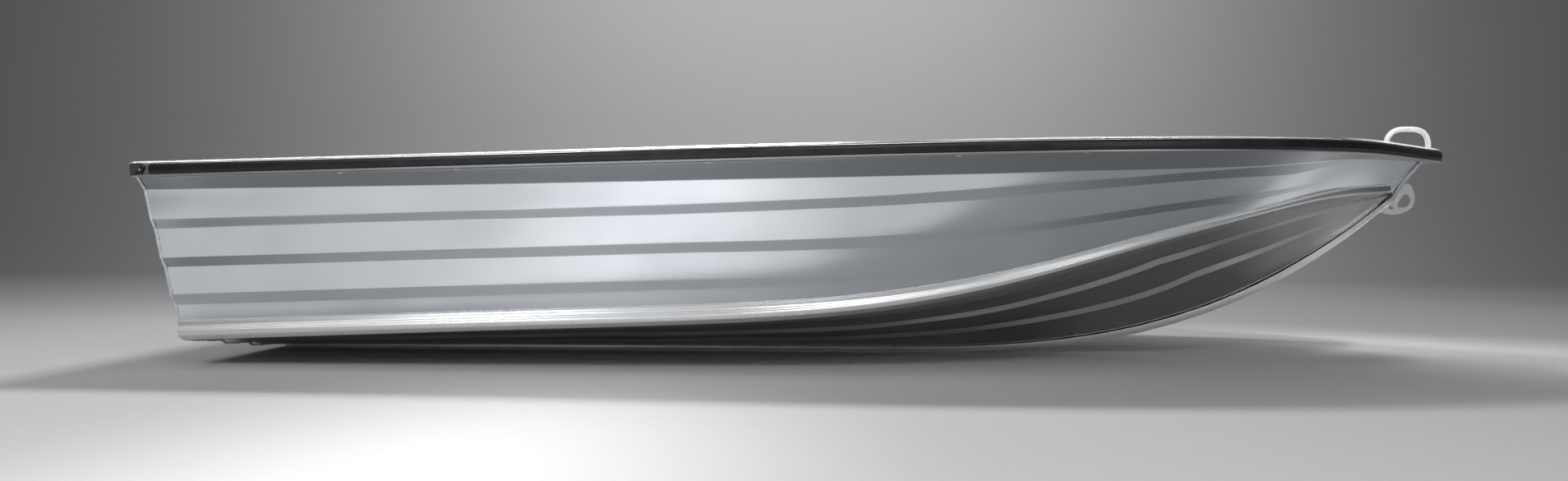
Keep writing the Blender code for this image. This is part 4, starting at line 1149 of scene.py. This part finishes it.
def eye_loops():
    """The plate's edge on the stem bar, and x, z of its outline and of both holes."""
    heights = np.linspace(EYE_FOOT, EYE_HEAD, 9)
    stem = KEEL[KEEL[:, 2] > 0.3]
    base = np.stack([np.interp(heights, stem[:, 2], stem[:, 0]) + GAP, heights], 1)
    outer = np.concatenate([base, np.array(EYE_OUTLINE) + (AHEAD, 0)])
    angle = np.linspace(0, 2 * math.pi, 24, endpoint=False)
    small = np.stack([np.cos(angle), np.sin(angle)], 1) * EYE_SMALL_RADIUS + EYE_SMALL
    return base, [outer, round_loop(EYE_LARGE) + (AHEAD, 0), small + (AHEAD, 0)]


def eye_plate():
    """Both faces of the plate with its holes, and a wall round each loop."""
    base, loops = eye_loops()
    flat = [[Vector((x, z, 0)) for x, z in loop] for loop in loops]
    near = np.array(tessellate_polygon(flat))
    outline = np.concatenate(loops)
    count = len(outline)
    points = np.concatenate([np.insert(outline, 1, y, axis=1) for y in (-EYE_HALF, EYE_HALF)])
    a, b, c = outline[near.T]
    left = ((b - a)[:, 0] * (c - a)[:, 1] - (b - a)[:, 1] * (c - a)[:, 0]) > 0
    near = np.where(left[:, None], near, near[:, [0, 2, 1]])
    faces = np.stack([near, count + near[:, [0, 2, 1]]], 1).reshape(-1, 3).tolist()
    start = 0
    for loop in loops:
        one = start + np.arange(len(loop))
        two = np.roll(one, -1)
        ahead = np.roll(loop, -1, 0)
        area = (loop[:, 0] * ahead[:, 1] - loop[:, 1] * ahead[:, 0]).sum()
        turn = -1 if (area > 0) == (start == 0) else 1
        faces += np.stack([one, count + one, count + two, two], 1)[:, ::turn].tolist()
        start += len(loop)
    made = placed("eye_plate", points, faces, plate_finish, 40)
    break_edges(made, EYE_EDGE, 50)
    return base, made


EYE_BASE, piece = eye_plate()
fit(piece, "mill_aluminium", "bow_eye_plate")
seams = []
for _, turn in SIDES:
    seam = np.insert(EYE_BASE, 1, turn * (EYE_HALF + EYE_WELD_OUT), axis=1)
    seams.append(bead(seam, (0.5, turn, -0.3), EYE_WELD, seed=61 + turn))
fit(body("eye_plate_welds", seams, weld_finish, sharp=60), "mill_aluminium")


# Floor, light and camera: a pale studio sweep under soft boxes, seen from the starboard side at the
# height of the boat's middle.

SWEEP_HALF = 14
SWEEP_FAR, SWEEP_BEND, SWEEP_TOP = 6.0, 1.5, 5.0
DAYLIGHT = (0.85, 0.89, 0.95, 1)
DAYLIGHT_STRENGTH = 0.05


def sweep_grid():
    """Both ends of a floor that runs straight, then up a quarter circle into a straight wall."""
    angle = np.linspace(0, math.pi / 2, 25)
    far = SWEEP_FAR + SWEEP_BEND
    y = np.concatenate([[-SWEEP_HALF], SWEEP_FAR + SWEEP_BEND * np.sin(angle), [far]])
    z = np.concatenate([[0], SWEEP_BEND * (1 - np.cos(angle)), [SWEEP_TOP]])
    x = np.array([-SWEEP_HALF, SWEEP_HALF])
    return np.stack(np.broadcast_arrays(x[:, None], y, z), -1)


grid = sweep_grid()
size = grid.shape[1]
faces = [(size + i, size + i + 1, i + 1, i) for i in range(size - 1)]
paper = Finish("pale_paper")
tint = paper.blend(paper.noise(30.0, 3.0), (0.70, 0.705, 0.71, 1), (0.74, 0.745, 0.75, 1))
paper_finish = paper.coat({"Base Color": tint, "Roughness": 0.9})
sweep = placed("studio_sweep", grid.reshape(-1, 3), faces, paper_finish, 180)

world = bpy.data.worlds.new("studio")
bpy.context.scene.world = world
world.use_nodes = True
sky = world.node_tree.nodes["Background"]
sky.inputs["Color"].default_value = DAYLIGHT
sky.inputs["Strength"].default_value = DAYLIGHT_STRENGTH


def soft_box(name, place, aim, width, height, power, spread):
    """An area light at a place, its face turned towards the aim."""
    lamp = bpy.data.lights.new(name, "AREA")
    lamp.shape = "RECTANGLE"
    lamp.spread = math.radians(spread)
    lamp.size, lamp.size_y, lamp.energy = width, height, power
    made = bpy.data.objects.new(name, lamp)
    bpy.context.scene.collection.objects.link(made)
    made.location = place
    run = np.array(place) - np.array(aim)
    turn = math.atan2(run[1], run[0]) + math.pi / 2
    tilt = math.atan2(math.hypot(run[0], run[1]), run[2])
    made.rotation_euler = (tilt, 0, turn)


# name, place, aim, width, height, power, spread
LAMPS = (
    ("overhead", (-0.75, 1.0, 3.4), (-0.75, -1.2, 0), 0.9, 0.5, 63, 180),
    ("overhead_stern", (-2.6, 1.0, 3.4), (-2.6, -1.2, 0), 3.2, 0.12, 18, 180),
    ("overhead_bow", (2.5, 1.0, 3.4), (2.4, -1.2, 0), 3.8, 0.14, 15, 180),
    ("stern_strip", (-2.8, -2.7, 2.9), (-2.8, -0.6, 0.1), 2.2, 0.3, 9, 180),
    ("middle_strip", (0.80, -3.45, 2.5), (0.1, -0.6, 0.15), 2.0, 0.3, 8.5, 180),
    ("bow_strip", (2.7, -3.4, 1.9), (0.6, -0.45, 0.25), 1.9, 0.3, 7.5, 180),
    ("low_stern", (-1.6, -4.4, 0.55), (-1.0, 0, 0.1), 3.0, 0.25, 9, 180),
    ("stern_floor", (-1.9, -3.0, 1.9), (-1.9, -2.4, 0), 0.7, 0.7, 16, 180),
    ("middle_floor", (0.0, -3.0, 1.9), (0.0, -2.4, 0), 0.7, 0.7, 11, 180),
    ("floor_streak", (-0.70, -2.0, 1.4), (-0.70, -2.001, 0), 0.25, 1.8, 3, 60),
    ("bow_floor", (2.15, 0.05, 2.1), (2.15, 0.0, 0), 0.4, 0.4, 0.9, 45),
    ("stem_floor", (2.45, -0.62, 1.4), (2.45, -0.621, 0), 0.15, 0.15, 2.5, 40),
    ("bow_behind", (4.9, 3.4, 2.4), (1.6, -0.25, 0.6), 1.8, 0.4, 3, 120),
    ("low_bow", (2.6, -3.6, 0.9), (1.75, 0, 0.5), 0.9, 0.5, 2.2, 90),
    ("bow_top", (1.9, -1.2, 2.2), (1.75, 0, 0.68), 0.2, 0.2, 0.45, 25),
    ("backdrop", (0, 4.0, 4.5), (0, 7.4, 1.0), 7.0, 1.0, 120, 180),
)
for lamp in LAMPS:
    soft_box(*lamp)

# The photograph's view: level, from 3.3 m off the middle line, a little aft of the boat's middle.
CAMERA_PLACE = (-0.203 + AHEAD, -3.3, 0.343)
FOCAL_PIXELS, IMAGE_WIDTH, SENSOR = 1285.0, 1908, 36.0
CAMERA_ROLL = math.radians(0.46)
camera_data = bpy.data.cameras.new("camera")
camera_data.sensor_width = SENSOR
camera_data.lens = FOCAL_PIXELS / IMAGE_WIDTH * SENSOR
camera = bpy.data.objects.new("camera", camera_data)
bpy.context.scene.collection.objects.link(camera)
camera.location = CAMERA_PLACE
camera.rotation_euler = (math.pi / 2, -CAMERA_ROLL, 0)
bpy.context.scene.camera = camera
bpy.context.scene.view_settings.view_transform = "Standard"
